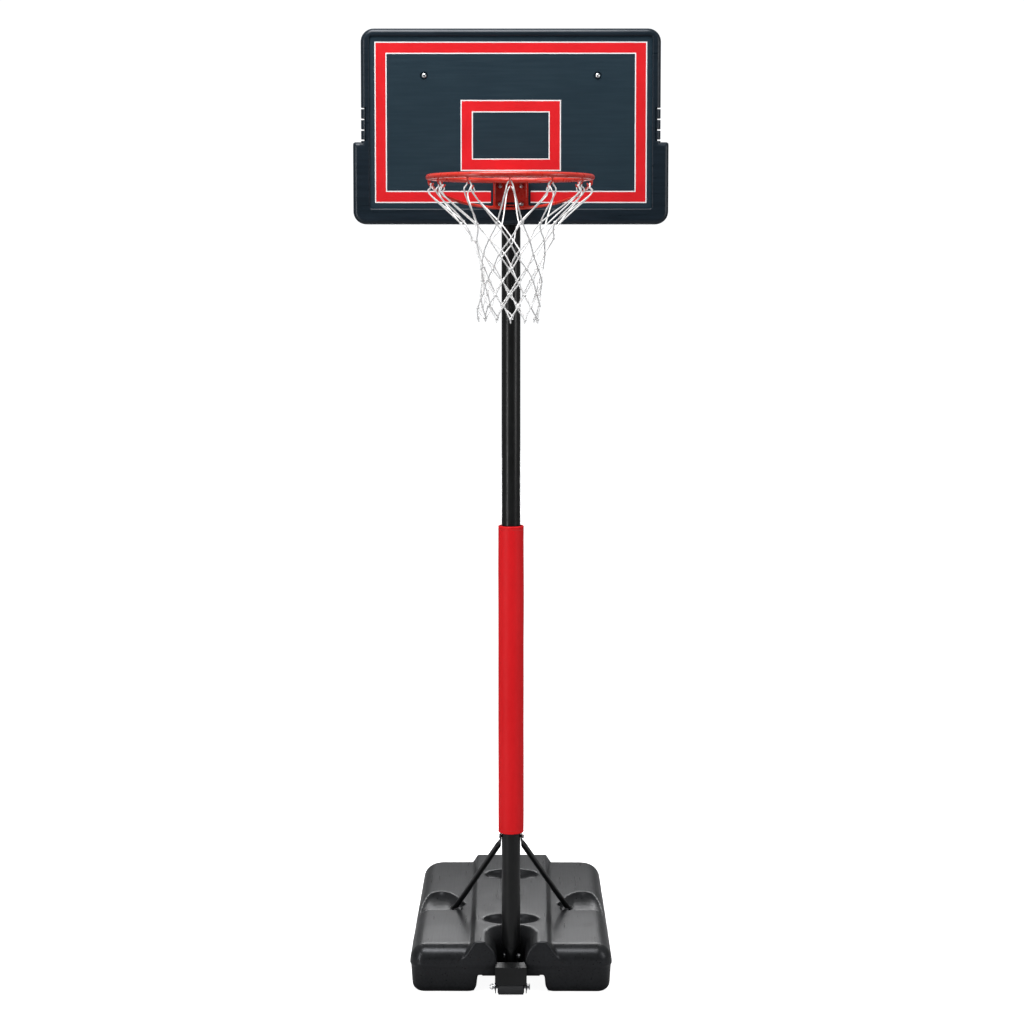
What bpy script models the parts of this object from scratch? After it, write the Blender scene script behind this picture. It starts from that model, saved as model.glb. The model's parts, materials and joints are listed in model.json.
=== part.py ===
"""Portable basketball hoop on a wheeled, water-filled base. Metres, +Z up, the hoop faces -Y.

While modelling, Y is measured from the pole's axis. Every piece hangs on one empty, which moves the
whole hoop so that its origin is the bottom centre of its box.
"""

import math

import bmesh
import bpy
from mathutils import Vector

GAP = 0.0003  # left between pieces that touch
CUT_MARGIN = 0.1  # how far a cutter starts outside the work
TUBE_SIDES = 28
BOLT_SIDES = 12

# Ring and net
RIM_TOP = 2.591  # 8 ft 6 in above the ground
RIM_REACH = 0.578  # ring's centre in front of the pole's axis
RING_WIRE = 0.008
RING_RADIUS = 0.2365  # to the wire's centre: 18 in clear opening
RING_Z = RIM_TOP - RING_WIRE
HOOK_COUNT = 12
HOOK_WIRE = 0.002
HOOK_ROUTE = (  # outwards and upwards from the wire's underside
    (0.0, 0.002), (0.0, -0.008), (-0.002, -0.013),
    (-0.006, -0.016), (-0.011, -0.015), (-0.014, -0.011))
SUPPORT_WIRE = 0.0045
SUPPORT_DROP = 0.068
NET_THICKNESS = 0.005
NET_PROFILE = (  # radius, height
    (0.226, 2.554), (0.142, 2.454), (0.114, 2.408),
    (0.086, 2.324), (0.088, 2.200), (0.084, 2.164))

# Board
BOARD_FRONT = -0.200
BOARD_DEPTH = 0.045
BOARD_BOTTOM = 2.454
BOARD_TOP = 3.050
BOARD_STEP_Z = 2.705
BOARD_HALF_LOW = 0.484
BOARD_HALF_HIGH = 0.459
BOARD_CORNER = 0.040
NOTCH_Z = (2.7085, 2.7395, 2.772, 2.805)
NOTCH_HEIGHT = 0.006
NOTCH_DEPTH = 0.0105
OPENING_HALF = 0.432
OPENING_BOTTOM = 2.5025
OPENING_TOP = 3.026
REBATE = 0.012
PANEL_RECESS = 0.006
PANEL_THICKNESS = 0.012
PANEL_FRONT = BOARD_FRONT + PANEL_RECESS
PANEL_BACK = PANEL_FRONT + PANEL_THICKNESS
RIB_DEPTH = 0.016
RIB_THICKNESS = 0.005
RIB_MARGIN = 0.004
RIB_X = (0.090, 0.200, 0.330)
RIB_Z = (2.640, 2.780, 2.950)
UPPER_BOLT_X = 0.2655
UPPER_BOLT_Z = 2.9066
RIM_BOLT_X = 0.0325
RIM_BOLT_Z = (2.5168, 2.5715)

# Rim mount
PLATE_HALF = 0.0537
SHELF_HALF = 0.053
PLATE_BOTTOM = 2.510
PLATE_TOP = 2.590
PLATE_THICKNESS = 0.005
PLATE_BACK = PANEL_FRONT - GAP
PLATE_FRONT = PLATE_BACK - PLATE_THICKNESS
GUSSET_X = 0.046
SLOT_HALF = 0.0134
SLOT_Z = (2.514, 2.5215)
SHEET = 0.003

# Poles and pad
POLE_RADIUS = 0.030
POLE_WALL = 0.0016
LOWER_POLE_BOTTOM = 0.0608
LOWER_POLE_TOP = 0.610
FOOT_FLAT_TOP = 0.107
FOOT_ROUND_Z = 0.138
FOOT_HALF_X = 0.017
FOOT_HALF_Y = 0.0375
FOOT_BOLT_Z = 0.095
MIDDLE_RADIUS = 0.0333
MIDDLE_BORE = 0.0313
SWAGE_BORE = 0.0303
MIDDLE_BOTTOM = 0.520
RIVET_Z = 0.565
MIDDLE_TOP = 1.491
SWAGE_TOP = 0.620
UPPER_POLE_BOTTOM = 0.925
UPPER_POLE_TOP = 2.660
BUSHING_BOTTOM = 1.447
BUSHING_TOP = MIDDLE_TOP + 0.006
BUSHING_BORE = 0.03035
PAD_RADIUS = 0.0413
PAD_BORE = 0.0337
PAD_BOTTOM = 0.504
PAD_TOP = 1.500
PAD_SEAM = 0.014
CLAMP_Z = 1.430
CLAMP_SCREW = 0.004
CLAMP_TIP = 0.003
CLAMP_BOSS_RADIUS = 0.010
CLAMP_BOSS_END = 0.056
PAD_HOLE = 0.017  # radius of the pad's hole for the clamp
KNOB_START = 0.058
KNOB_DEPTH = 0.014
KNOB_RADIUS = 0.020
KNOB_LOBES = 5
KNOB_LOBE = 0.0025
KNOB_GRIP = 0.008  # how deep the screw sits in the knob

# Base tank
BASE_FRONT = -0.100
BASE_BACK = 0.9385
BASE_HALF_FRONT = 0.3263
BASE_HALF_BACK = 0.321
FRONT_CORNER = 0.050
BACK_CORNER = 0.078
BOTTOM_ROLL = 0.028
TOP_ROLL = 0.050
DRAFT = 0.004
PARTING_Z = 0.090
SIDE_TOP = 0.153
RIDGE_TOP = 0.172
RIDGE_HALF_FRONT = 0.1167
RIDGE_HALF_BACK = 0.1248
RIDGE_BACK = 0.9295
RIDGE_FOOT = 0.094
RIDGE_RUN = 0.65  # how far the ridge's sides spread for each unit that they drop
TANK_WALL = 0.0045
WATER_CLEARANCE = 0.0008
WATER_LEVEL = 0.145
TUNNEL_TOP = 0.0608
TUNNEL_HALF = 0.107
TUNNEL_BACK = 0.130
TUNNEL_FLARE = 0.010
SLOT_HALF_LOW = 0.0445
SLOT_HALF_HIGH = 0.086
SLOT_FLARE_Z = 0.085
SLOT_FLARE_STEPS = (-1.2, 0.0, 0.25, 0.45, 0.62, 0.80, 1.0, 1.14)  # from the flare's start to its top
DIMPLES = ((0.672, 0.0943, 0.063), (0.149, 0.091, 0.055))  # centre y, half length, half width
DIMPLE_DEPTH = 0.032
SCOOP_CENTRE = (0.245, 0.309, 0.162)
SCOOP_RADII = (0.080, 0.216, 0.055)
SEAT_CENTRE = (0.199, 0.378)
SEAT_RADIUS = 0.040
SEAT_Z = 0.136
SEAT_BOLT = 0.022  # length of the bolt that holds a strut's foot
SEAT_BOSS = 0.030
SHOE_BOLT = 0.020
SHOE_BOSS = 0.026
BOSS_RADIUS = 0.011
BOSS_SIDES = 20
NECK_Y = 0.410
NECK_RADIUS = 0.021
NECK_SIDES = 20
CAP_RADIUS = 0.027
CAP_STEM = 0.015  # length of the cap's plug

# Shoe, roller and its axle
SHOE_HALF = 0.0505
SHOE_FRONT = -0.141
SHOE_LIP = 0.044  # height of the front plate's lower edge, in front of the roller
SHOE_BACK = 0.050
SHOE_TOP = 0.101
SHOE_FLOOR = TUNNEL_TOP - GAP
SHOE_FLANGE = 0.092
SHOE_BOLT_X = 0.076
SHOE_BOLT_Y = (-0.025, 0.030)
CHEEK_LOW = 0.0175
CHEEK_HIGH = 0.040
CHEEK_BEND = -0.090
EAR_X = 0.0178
EAR_HALF = 0.032
EAR_TOP = FOOT_FLAT_TOP - 0.002
ROLLER_Y = -0.115
ROLLER_Z = 0.031
ROLLER_RADIUS = 0.025
ROLLER_HALF = 0.0425
AXLE_RADIUS = 0.006
AXLE_HEAD_RADIUS = 0.0095
AXLE_HEAD = 0.0035
WASHER_RADIUS = 0.011
WASHER_THICKNESS = 0.0015
AXLE_LEFT = -0.060
AXLE_RIGHT = 0.0575
COTTER_X = -0.0575
COTTER_WIRE = 0.0011
COTTER_REACH = 0.009

# Struts and braces
STRUT_RADIUS = 0.0095
STRUT_SIDES = 14
TAB_HALF = 0.0025
TAB_WIDTH = 0.0115
TAB_END = 0.013  # from a tab's bolt to its end
TAB_SHORT = 0.012  # from a tab's bolt to the round tube
TAB_MEDIUM = 0.016
TAB_LONG = 0.017
STRUT_BOLT_Z = 0.490
BRACE_BOLT_Z = 2.640
BRACKET_BOLT_Z = (2.512, 2.580)
BRACKET_HALF = 0.064
BRACKET_BOTTOM = 2.495
BRACKET_TOP = 2.600
BOLT_RADIUS = 0.004
BOLT_HOLE = BOLT_RADIUS + GAP
HEAD_RADIUS = 0.0075
HEAD_HEIGHT = 0.0045
NUT_HEIGHT = 0.006
NUT_APOTHEM = 0.0065
THREAD_END = 0.002  # how far a bolt stands out of its nut

POLE_Y = (RIM_REACH + RING_RADIUS + RING_WIRE - BASE_BACK) / 2

# Colour (linear RGB), roughness, metallic
FINISHES = {
    "black_steel": ((0.008, 0.009, 0.009), 0.38, 0.3),
    "black_plastic": ((0.012, 0.013, 0.014), 0.45, 0.0),
    "slate_plastic": ((0.022, 0.036, 0.046), 0.50, 0.0),
    "red_steel": ((0.80, 0.045, 0.020), 0.35, 0.2),
    "red_foam": ((0.78, 0.012, 0.018), 0.60, 0.0),
    "zinc": ((0.60, 0.61, 0.62), 0.30, 1.0),
    "white_cord": ((0.80, 0.80, 0.78), 0.85, 0.0),
    "rubber": ((0.020, 0.021, 0.022), 0.70, 0.0),
    "water": ((0.30, 0.45, 0.50), 0.05, 0.0),
}


def clear_scene():
    for item in list(bpy.data.objects):
        bpy.data.objects.remove(item, do_unlink=True)


def material(name, finish):
    colour, roughness, metallic = FINISHES[finish]
    made = bpy.data.materials.new(name)
    made.use_nodes = True
    shader = made.node_tree.nodes["Principled BSDF"]
    shader.inputs["Base Color"].default_value = (*colour, 1.0)
    shader.inputs["Roughness"].default_value = roughness
    shader.inputs["Metallic"].default_value = metallic
    return made


# ---------------------------------------------------------------- solids


def add_object(name, bm, finish=None):
    """A linked object from a bmesh, its faces turned outwards; without a finish it is a cutter."""
    bmesh.ops.recalc_face_normals(bm, faces=bm.faces)
    mesh = bpy.data.meshes.new(name)
    bm.to_mesh(mesh)
    bm.free()
    made = bpy.data.objects.new(name, mesh)
    bpy.context.scene.collection.objects.link(made)
    if finish:
        mesh.materials.append(material(name, finish))
    return made


def add_loft(bm, rings, closed=False):
    """Skin a row of equal rings of points; the ends are capped unless the row closes on itself."""
    rows = [[bm.verts.new(point) for point in ring] for ring in rings]
    count = len(rows[0])
    pairs = list(zip(rows, rows[1:]))
    if closed:
        pairs.append((rows[-1], rows[0]))
    for low, high in pairs:
        for i in range(count):
            j = (i + 1) % count
            bm.faces.new((low[i], low[j], high[j], high[i]))
    if not closed:
        bm.faces.new(rows[0])
        bm.faces.new(rows[-1])


def circle(radius, height, sides):
    points = []
    for i in range(sides):
        turn = 2 * math.pi * i / sides
        points.append(Vector((radius * math.cos(turn), radius * math.sin(turn), height)))
    return points


def to_axis(points, start, axis):
    """Move points made along +Z to start, with +Z turned to axis."""
    turn = Vector((0, 0, 1)).rotation_difference(Vector(axis))
    return [Vector(start) + turn @ point for point in points]


def add_turned(bm, outline, sides, start=(0, 0, 0), axis=(0, 0, 1)):
    """Turn (radius, height) points round an axis: a stack of discs."""
    add_loft(bm, [to_axis(circle(radius, height, sides), start, axis) for radius, height in outline])


def add_tube(bm, outline, sides, start=(0, 0, 0), axis=(0, 0, 1)):
    """Turn a closed (radius, height) outline that stays off the axis: a tube or a ring."""
    rings = [to_axis(circle(radius, height, sides), start, axis) for radius, height in outline]
    add_loft(bm, rings, closed=True)


def add_box(bm, low, high):
    rings = []
    for z in (low[2], high[2]):
        rings.append([Vector((x, y, z)) for x, y in (
            (low[0], low[1]), (high[0], low[1]), (high[0], high[1]), (low[0], high[1]))])
    add_loft(bm, rings)


def add_prism(bm, outline, axis, low, high):
    """Extrude a flat outline along X, Y or Z; its points are the other two coordinates in order."""
    rings = []
    for depth in (low, high):
        ring = []
        for first, second in outline:
            point = [first, second]
            point.insert(axis, depth)
            ring.append(Vector(point))
        rings.append(ring)
    add_loft(bm, rings)


def solid(name, finish, *shapes):
    """One object from (adder, arguments) pairs, each a closed body clear of the others."""
    bm = bmesh.new()
    for adder, arguments in shapes:
        adder(bm, *arguments)
    return add_object(name, bm, finish)


def combine(target, cutter, operation):
    """Apply one exact Boolean to target and delete the cutter."""
    modifier = target.modifiers.new("combine", "BOOLEAN")
    modifier.operation = operation
    modifier.solver = "EXACT"
    modifier.object = cutter
    depsgraph = bpy.context.evaluated_depsgraph_get()
    mesh = bpy.data.meshes.new_from_object(target.evaluated_get(depsgraph))
    target.modifiers.remove(modifier)
    target.data = mesh
    bpy.data.objects.remove(cutter, do_unlink=True)


def cut(target, adder, *arguments):
    combine(target, solid("cutter", None, (adder, arguments)), "DIFFERENCE")


def join(target, adder, *arguments):
    combine(target, solid("added", None, (adder, arguments)), "UNION")


def drill(target, start, axis, radius, depth):
    cut(target, add_turned, ((radius, 0.0), (radius, depth)), BOLT_SIDES, start, axis)


def drill_across(target, y, z, radius=BOLT_HOLE):
    """A hole right through along X."""
    drill(target, (-CUT_MARGIN, y, z), (1, 0, 0), radius, 2 * CUT_MARGIN)


def smooth(item, angle=35.0):
    item.data.shade_smooth()
    item.data.set_sharp_from_angle(angle=math.radians(angle))


# ---------------------------------------------------------------- swept bars


def add_bar(bm, stations, sides):
    """Sweep an ellipse along stations of (centre, thickness direction, half thickness, half width)."""
    rings = []
    for index, (centre, thick_axis, half_thick, half_wide) in enumerate(stations):
        before = stations[max(index - 1, 0)][0]
        after = stations[min(index + 1, len(stations) - 1)][0]
        tangent = (Vector(after) - Vector(before)).normalized()
        first = Vector(thick_axis)
        if half_thick == half_wide:
            first = (first - tangent * first.dot(tangent)).normalized()
        second = tangent.cross(first).normalized()
        ring = []
        for i in range(sides):
            turn = 2 * math.pi * (i + 0.5) / sides
            across = first * half_thick * math.cos(turn) + second * half_wide * math.sin(turn)
            ring.append(Vector(centre) + across)
        rings.append(ring)
    add_loft(bm, rings)


def add_wire(bm, points, radius, sides, side_axis=(0.31, 0.17, 0.93)):
    add_bar(bm, [(point, side_axis, radius, radius) for point in points], sides)


def strut_stations(top_tab, top_axis, foot_tab, foot_axis, round_steps=8):
    """A round tube between two flattened tabs, each tab a pair of points from its end inwards."""
    stations = [(top_tab[0], top_axis, TAB_HALF, TAB_WIDTH), (top_tab[1], top_axis, TAB_HALF, TAB_WIDTH)]
    start, end = Vector(top_tab[1]), Vector(foot_tab[1])
    for step in range(round_steps + 1):
        share = 0.08 + 0.84 * step / round_steps
        axis = Vector(top_axis).lerp(Vector(foot_axis), step / round_steps)
        stations.append((start.lerp(end, share), axis, STRUT_RADIUS, STRUT_RADIUS))
    stations.append((foot_tab[1], foot_axis, TAB_HALF, TAB_WIDTH))
    stations.append((foot_tab[0], foot_axis, TAB_HALF, TAB_WIDTH))
    return stations


# ---------------------------------------------------------------- fasteners


def bolt_shape(length):
    """A domed bolt along +Z: its head sits below the origin and its shank reaches up into the work."""
    outline = [(HEAD_RADIUS * 0.55, -HEAD_HEIGHT), (HEAD_RADIUS * 0.85, -HEAD_HEIGHT * 0.75)]
    outline += [(HEAD_RADIUS, -HEAD_HEIGHT * 0.3), (HEAD_RADIUS, 0.0)]
    outline += [(BOLT_RADIUS, 0.0), (BOLT_RADIUS, length)]
    return add_turned, (outline, BOLT_SIDES)


def nut_shape():
    """A hexagon nut that stands on the origin and grows along +Z."""
    sides = 12
    rings = []
    for inner, height in ((False, 0.0), (False, NUT_HEIGHT), (True, NUT_HEIGHT), (True, 0.0)):
        ring = []
        for i in range(sides):
            turn = 2 * math.pi * i / sides
            off_corner = (turn + math.pi / 6) % (math.pi / 3) - math.pi / 6
            radius = BOLT_HOLE if inner else NUT_APOTHEM / math.cos(off_corner)
            ring.append(Vector((radius * math.cos(turn), radius * math.sin(turn), height)))
        rings.append(ring)
    return add_loft, (rings, True)


def fasten(name, shape, places):
    """Copies of one fastener, each set on a seat with its +Z along an axis."""
    first = solid("fastener", "zinc", shape)
    smooth(first)
    made = []
    for index, (seat, axis) in enumerate(places):
        label = name if len(places) == 1 else f"{name}_{index + 1}"
        copy = bpy.data.objects.new(label, first.data)
        bpy.context.scene.collection.objects.link(copy)
        copy.rotation_mode = "QUATERNION"
        copy.rotation_quaternion = Vector((0, 0, 1)).rotation_difference(Vector(axis))
        copy.location = seat
        made.append(copy)
    bpy.data.objects.remove(first, do_unlink=True)
    return made


# ---------------------------------------------------------------- base tank


def tank_levels(wall):
    """Height and inset of the tank's side: bottom roll, parting line, top roll."""
    steps = 4
    levels = []
    for step in range(steps + 1):
        turn = math.radians(90 * step / steps)
        radius = BOTTOM_ROLL - wall
        height = BOTTOM_ROLL - radius * math.cos(turn)
        levels.append((height, DRAFT + wall + radius * (1 - math.sin(turn))))
    levels.append((PARTING_Z, wall))
    for step in range(steps + 1):
        turn = math.radians(90 * step / steps)
        radius = TOP_ROLL - wall
        height = SIDE_TOP - TOP_ROLL + radius * math.sin(turn)
        levels.append((height, DRAFT / 2 + wall + radius * (1 - math.cos(turn))))
    return levels


def tank_ring(height, inset):
    """The tank's plan outline shrunk by inset, its four corners as arcs."""
    steps = 5
    points = []
    corners = (
        (1, BASE_FRONT, 1, BASE_HALF_FRONT, FRONT_CORNER, -90),
        (1, BASE_BACK, -1, BASE_HALF_BACK, BACK_CORNER, 0),
        (-1, BASE_BACK, -1, BASE_HALF_BACK, BACK_CORNER, 90),
        (-1, BASE_FRONT, 1, BASE_HALF_FRONT, FRONT_CORNER, 180),
    )
    for side, edge, inward, half, corner, start in corners:
        radius = max(corner - inset, 0.004)
        centre_x = side * (half - inset - radius)
        centre_y = edge + inward * (inset + radius)
        for step in range(steps + 1):
            turn = math.radians(start + 90 * step / steps)
            x = centre_x + radius * math.cos(turn)
            y = centre_y + radius * math.sin(turn)
            points.append(Vector((x, y, height)))
    return points


def ridge_rings(wall):
    """The raised ridge along the middle, a prism with sloping sides."""
    rings = []
    top = RIDGE_TOP - wall
    for y, half in ((BASE_FRONT + wall, RIDGE_HALF_FRONT), (RIDGE_BACK - wall, RIDGE_HALF_BACK)):
        top_half = half + wall * (RIDGE_RUN - math.hypot(1, RIDGE_RUN))
        foot_half = top_half + (top - RIDGE_FOOT) * RIDGE_RUN
        outline = ((-foot_half, RIDGE_FOOT), (foot_half, RIDGE_FOOT), (top_half, top), (-top_half, top))
        rings.append([Vector((x, y, z)) for x, z in outline])
    return rings


def pole_slot_rings(wall):
    """The slot that the pole stands in: a U in plan, flaring out towards the ridge's top."""
    rings = []
    for flare in SLOT_FLARE_STEPS:
        z = SLOT_FLARE_Z + (RIDGE_TOP - SLOT_FLARE_Z) * flare
        half = SLOT_HALF_LOW + (SLOT_HALF_HIGH - SLOT_HALF_LOW) * max(flare, 0.0) ** 3 + wall
        ring = [Vector((half, BASE_FRONT - CUT_MARGIN, z))]
        for step in range(11):
            turn = math.pi * step / 10
            ring.append(Vector((half * math.cos(turn), half * math.sin(turn), z)))
        ring.append(Vector((-half, BASE_FRONT - CUT_MARGIN, z)))
        rings.append(ring)
    return rings


def add_ellipsoid(bm, centre, radii):
    rings = []
    levels = 8
    for level in range(1, levels):
        tilt = math.pi * level / levels - math.pi / 2
        ring = circle(math.cos(tilt), math.sin(tilt), 20)
        rings.append([Vector([c + p * r for c, p, r in zip(centre, point, radii)]) for point in ring])
    add_loft(bm, rings)


def add_scoop(bm, side, wall):
    """A side pocket: a rounded hollow with an upright front wall."""
    radii = [radius + wall for radius in SCOOP_RADII]
    centre = (side * SCOOP_CENTRE[0], SCOOP_CENTRE[1], SCOOP_CENTRE[2])
    add_ellipsoid(bm, centre, radii)
    front = (0, SCOOP_CENTRE[1] - wall, 0)
    everything = bm.verts[:] + bm.edges[:] + bm.faces[:]
    cut_line = bmesh.ops.bisect_plane(
        bm, geom=everything, plane_co=front, plane_no=(0, -1, 0), clear_outer=True)
    edges = [part for part in cut_line["geom_cut"] if isinstance(part, bmesh.types.BMEdge)]
    bmesh.ops.edgeloop_fill(bm, edges=edges)


def tank_form(name, finish, wall):
    """The tank's outer shape moved inwards by wall, every recess growing by the same amount."""
    body = solid(name, finish, (add_loft, ([tank_ring(z, inset) for z, inset in tank_levels(wall)],)))
    join(body, add_loft, ridge_rings(wall))
    cut(body, add_loft, pole_slot_rings(wall))
    half, top = TUNNEL_HALF + wall, TUNNEL_TOP + wall
    foot, below = half + TUNNEL_FLARE, -TUNNEL_FLARE
    tunnel = ((-foot, below), (foot, below), (half, top), (-half, top))
    cut(body, add_prism, tunnel, 1, BASE_FRONT - CUT_MARGIN, TUNNEL_BACK + wall)
    for y, half_long, half_wide in DIMPLES:
        radii = (half_long + wall, half_wide + wall, DIMPLE_DEPTH + wall)
        cut(body, add_ellipsoid, (0, y, RIDGE_TOP), radii)
    for side in (-1, 1):
        cut(body, add_scoop, side, wall)
        seat = (side * SEAT_CENTRE[0], SEAT_CENTRE[1], SEAT_Z - wall)
        outline = ((SEAT_RADIUS + wall, 0.0), (SEAT_RADIUS + wall, CUT_MARGIN))
        cut(body, add_turned, outline, BOSS_SIDES, seat)
    return body


def bosses():
    """Solid columns inside the tank that the bolts bite into: (x, y, low z, high z)."""
    places = []
    for side in (-1, 1):
        places.append((side * SEAT_CENTRE[0], SEAT_CENTRE[1], SEAT_Z - SEAT_BOSS, SEAT_Z))
        for y in SHOE_BOLT_Y:
            places.append((side * SHOE_BOLT_X, y, TUNNEL_TOP, TUNNEL_TOP + SHOE_BOSS))
    return places


def cut_bosses(body, radius, clearance):
    for x, y, low, high in bosses():
        outline = ((radius, -clearance), (radius, high - low + clearance))
        cut(body, add_turned, outline, BOSS_SIDES, (x, y, low), (0, 0, 1))


def base_tank():
    tank = tank_form("base_tank", "black_plastic", 0.0)
    cavity = tank_form("cavity", None, TANK_WALL)
    cut_bosses(cavity, BOSS_RADIUS, 0.0)
    neck = ((NECK_RADIUS, 0.0), (NECK_RADIUS, 0.05))
    join(cavity, add_turned, neck, NECK_SIDES, (0, NECK_Y, RIDGE_TOP - 0.03))
    combine(tank, cavity, "DIFFERENCE")
    up = (0, 0, 1)
    for side in (-1, 1):
        drill(tank, (side * SEAT_CENTRE[0], SEAT_CENTRE[1], SEAT_Z - SEAT_BOLT), up, BOLT_HOLE, 0.04)
        for y in SHOE_BOLT_Y:
            drill(tank, (side * SHOE_BOLT_X, y, TUNNEL_TOP - 0.01), up, BOLT_HOLE, SHOE_BOLT + 0.01)
    smooth(tank)
    return tank


def water_ballast():
    water = tank_form("water_ballast", "water", TANK_WALL + WATER_CLEARANCE)
    cut_bosses(water, BOSS_RADIUS + WATER_CLEARANCE, WATER_CLEARANCE)
    cut(water, add_box, (-1, -1, WATER_LEVEL), (1, 2, 1))
    return water


def fill_cap():
    top = RIDGE_TOP + GAP
    plug = NECK_RADIUS - GAP
    outline = [(plug - 0.003, -CAP_STEM - 0.003), (plug, -CAP_STEM), (plug, 0.0), (CAP_RADIUS, 0.0)]
    outline += [(CAP_RADIUS, 0.003), (CAP_RADIUS - 0.003, 0.006)]
    outline += [(0.012, 0.006), (0.011, 0.012), (0.008, 0.014)]  # the grip in the middle
    cap = solid("fill_cap", "black_plastic", (add_turned, (outline, NECK_SIDES, (0, NECK_Y, top))))
    smooth(cap)
    return cap


# ---------------------------------------------------------------- shoe and roller


def pole_shoe():
    """The steel shoe: cheeks and a front plate round the roller, a floor and two ears for the pole."""
    inner = SHOE_HALF - SHEET
    tank_side = BASE_FRONT - 2 * GAP
    profile = ((SHOE_FRONT, CHEEK_LOW), (CHEEK_BEND, CHEEK_LOW), (SHOE_BACK, CHEEK_HIGH))
    profile += ((SHOE_BACK, SHOE_FLOOR), (tank_side, SHOE_FLOOR))
    profile += ((tank_side, SHOE_TOP), (SHOE_FRONT, SHOE_TOP))
    shoe = solid("pole_shoe", "black_steel", (add_prism, (profile, 0, inner, SHOE_HALF)))
    join(shoe, add_prism, profile, 0, -SHOE_HALF, -inner)
    web_half = SLOT_HALF_LOW - 2 * GAP
    web_front = ROLLER_Y + ROLLER_RADIUS + 0.001
    web_back = web_front + SHEET
    deck, floor = SHOE_TOP - SHEET, SHOE_FLOOR - SHEET
    join(shoe, add_box, (-SHOE_HALF, SHOE_FRONT, deck), (SHOE_HALF, tank_side, SHOE_TOP))
    join(shoe, add_box, (-SHOE_HALF, SHOE_FRONT, SHOE_LIP), (SHOE_HALF, SHOE_FRONT + SHEET, SHOE_TOP))
    join(shoe, add_box, (-web_half, BASE_FRONT - 0.01, deck), (web_half, web_back, SHOE_TOP))
    join(shoe, add_box, (-web_half, web_front, floor), (web_half, web_back, SHOE_TOP))
    join(shoe, add_box, (-SHOE_FLANGE, web_front, floor), (SHOE_FLANGE, SHOE_BACK, SHOE_FLOOR))
    for side in (-1, 1):
        low, high = sorted((side * EAR_X, side * (EAR_X + SHEET)))
        join(shoe, add_box, (low, -EAR_HALF, floor), (high, EAR_HALF, EAR_TOP))
        for y in SHOE_BOLT_Y:
            drill(shoe, (side * SHOE_BOLT_X, y, SHOE_FLOOR - 0.02), (0, 0, 1), BOLT_HOLE, 0.04)
    drill_across(shoe, ROLLER_Y, ROLLER_Z, AXLE_RADIUS + GAP)
    drill_across(shoe, 0, FOOT_BOLT_Z)
    return shoe


def roller_wheel():
    """The wide roller, its ends rounded, turning on the axle."""
    bore = AXLE_RADIUS + 0.0002
    edge = 0.004
    outline = [(bore, 0.0), (ROLLER_RADIUS - edge, 0.0), (ROLLER_RADIUS - edge * 0.3, edge * 0.3)]
    outline += [(ROLLER_RADIUS, edge), (ROLLER_RADIUS, 2 * ROLLER_HALF - edge)]
    outline += [(ROLLER_RADIUS - edge * 0.3, 2 * ROLLER_HALF - edge * 0.3)]
    outline += [(ROLLER_RADIUS - edge, 2 * ROLLER_HALF), (bore, 2 * ROLLER_HALF)]
    shape = (add_tube, (outline, TUBE_SIDES, (-ROLLER_HALF, 0, 0), (1, 0, 0)))
    roller = solid("roller_wheel", "rubber", shape)
    smooth(roller)
    return roller


def roller_axle():
    """The axle: a head outside the right cheek and a cross hole for the cotter at the left end."""
    outline = ((AXLE_RADIUS, AXLE_LEFT), (AXLE_RADIUS, AXLE_RIGHT))
    outline += ((AXLE_HEAD_RADIUS, AXLE_RIGHT), (AXLE_HEAD_RADIUS, AXLE_RIGHT + AXLE_HEAD))
    shape = (add_turned, (outline, TUBE_SIDES, (0, ROLLER_Y, ROLLER_Z), (1, 0, 0)))
    axle = solid("wheel_axle", "zinc", shape)
    drill(axle, (COTTER_X, ROLLER_Y, ROLLER_Z - 0.02), (0, 0, 1), COTTER_WIRE + GAP, 0.04)
    smooth(axle)
    return axle


def axle_washers():
    bore, thick = AXLE_RADIUS + GAP, WASHER_THICKNESS
    outline = ((WASHER_RADIUS, 0.0), (WASHER_RADIUS, thick), (bore, thick), (bore, 0.0))
    seats = [((side * (SHOE_HALF + GAP), ROLLER_Y, ROLLER_Z), (side, 0, 0)) for side in (-1, 1)]
    return fasten("axle_washer", (add_tube, (outline, TUBE_SIDES)), seats)


def cotter_pin():
    """A wire through the axle, its legs bent back to a point."""
    tip, bend = COTTER_X - 0.0105, COTTER_X - 0.002
    upper = [(tip, 0.0016), (bend, COTTER_REACH), (COTTER_X, COTTER_REACH - 0.001)]
    points = [(x, ROLLER_Y, ROLLER_Z + z) for x, z in upper]
    points += [(x, ROLLER_Y, ROLLER_Z - z) for x, z in reversed(upper)]
    return solid("cotter_pin", "zinc", (add_wire, (points, COTTER_WIRE, 8, (0, 1, 0))))


# ---------------------------------------------------------------- poles


def oval(half_x, half_y, height, sides=TUBE_SIDES):
    points = []
    for i in range(sides):
        turn = 2 * math.pi * i / sides
        points.append(Vector((half_x * math.cos(turn), half_y * math.sin(turn), height)))
    return points


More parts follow.
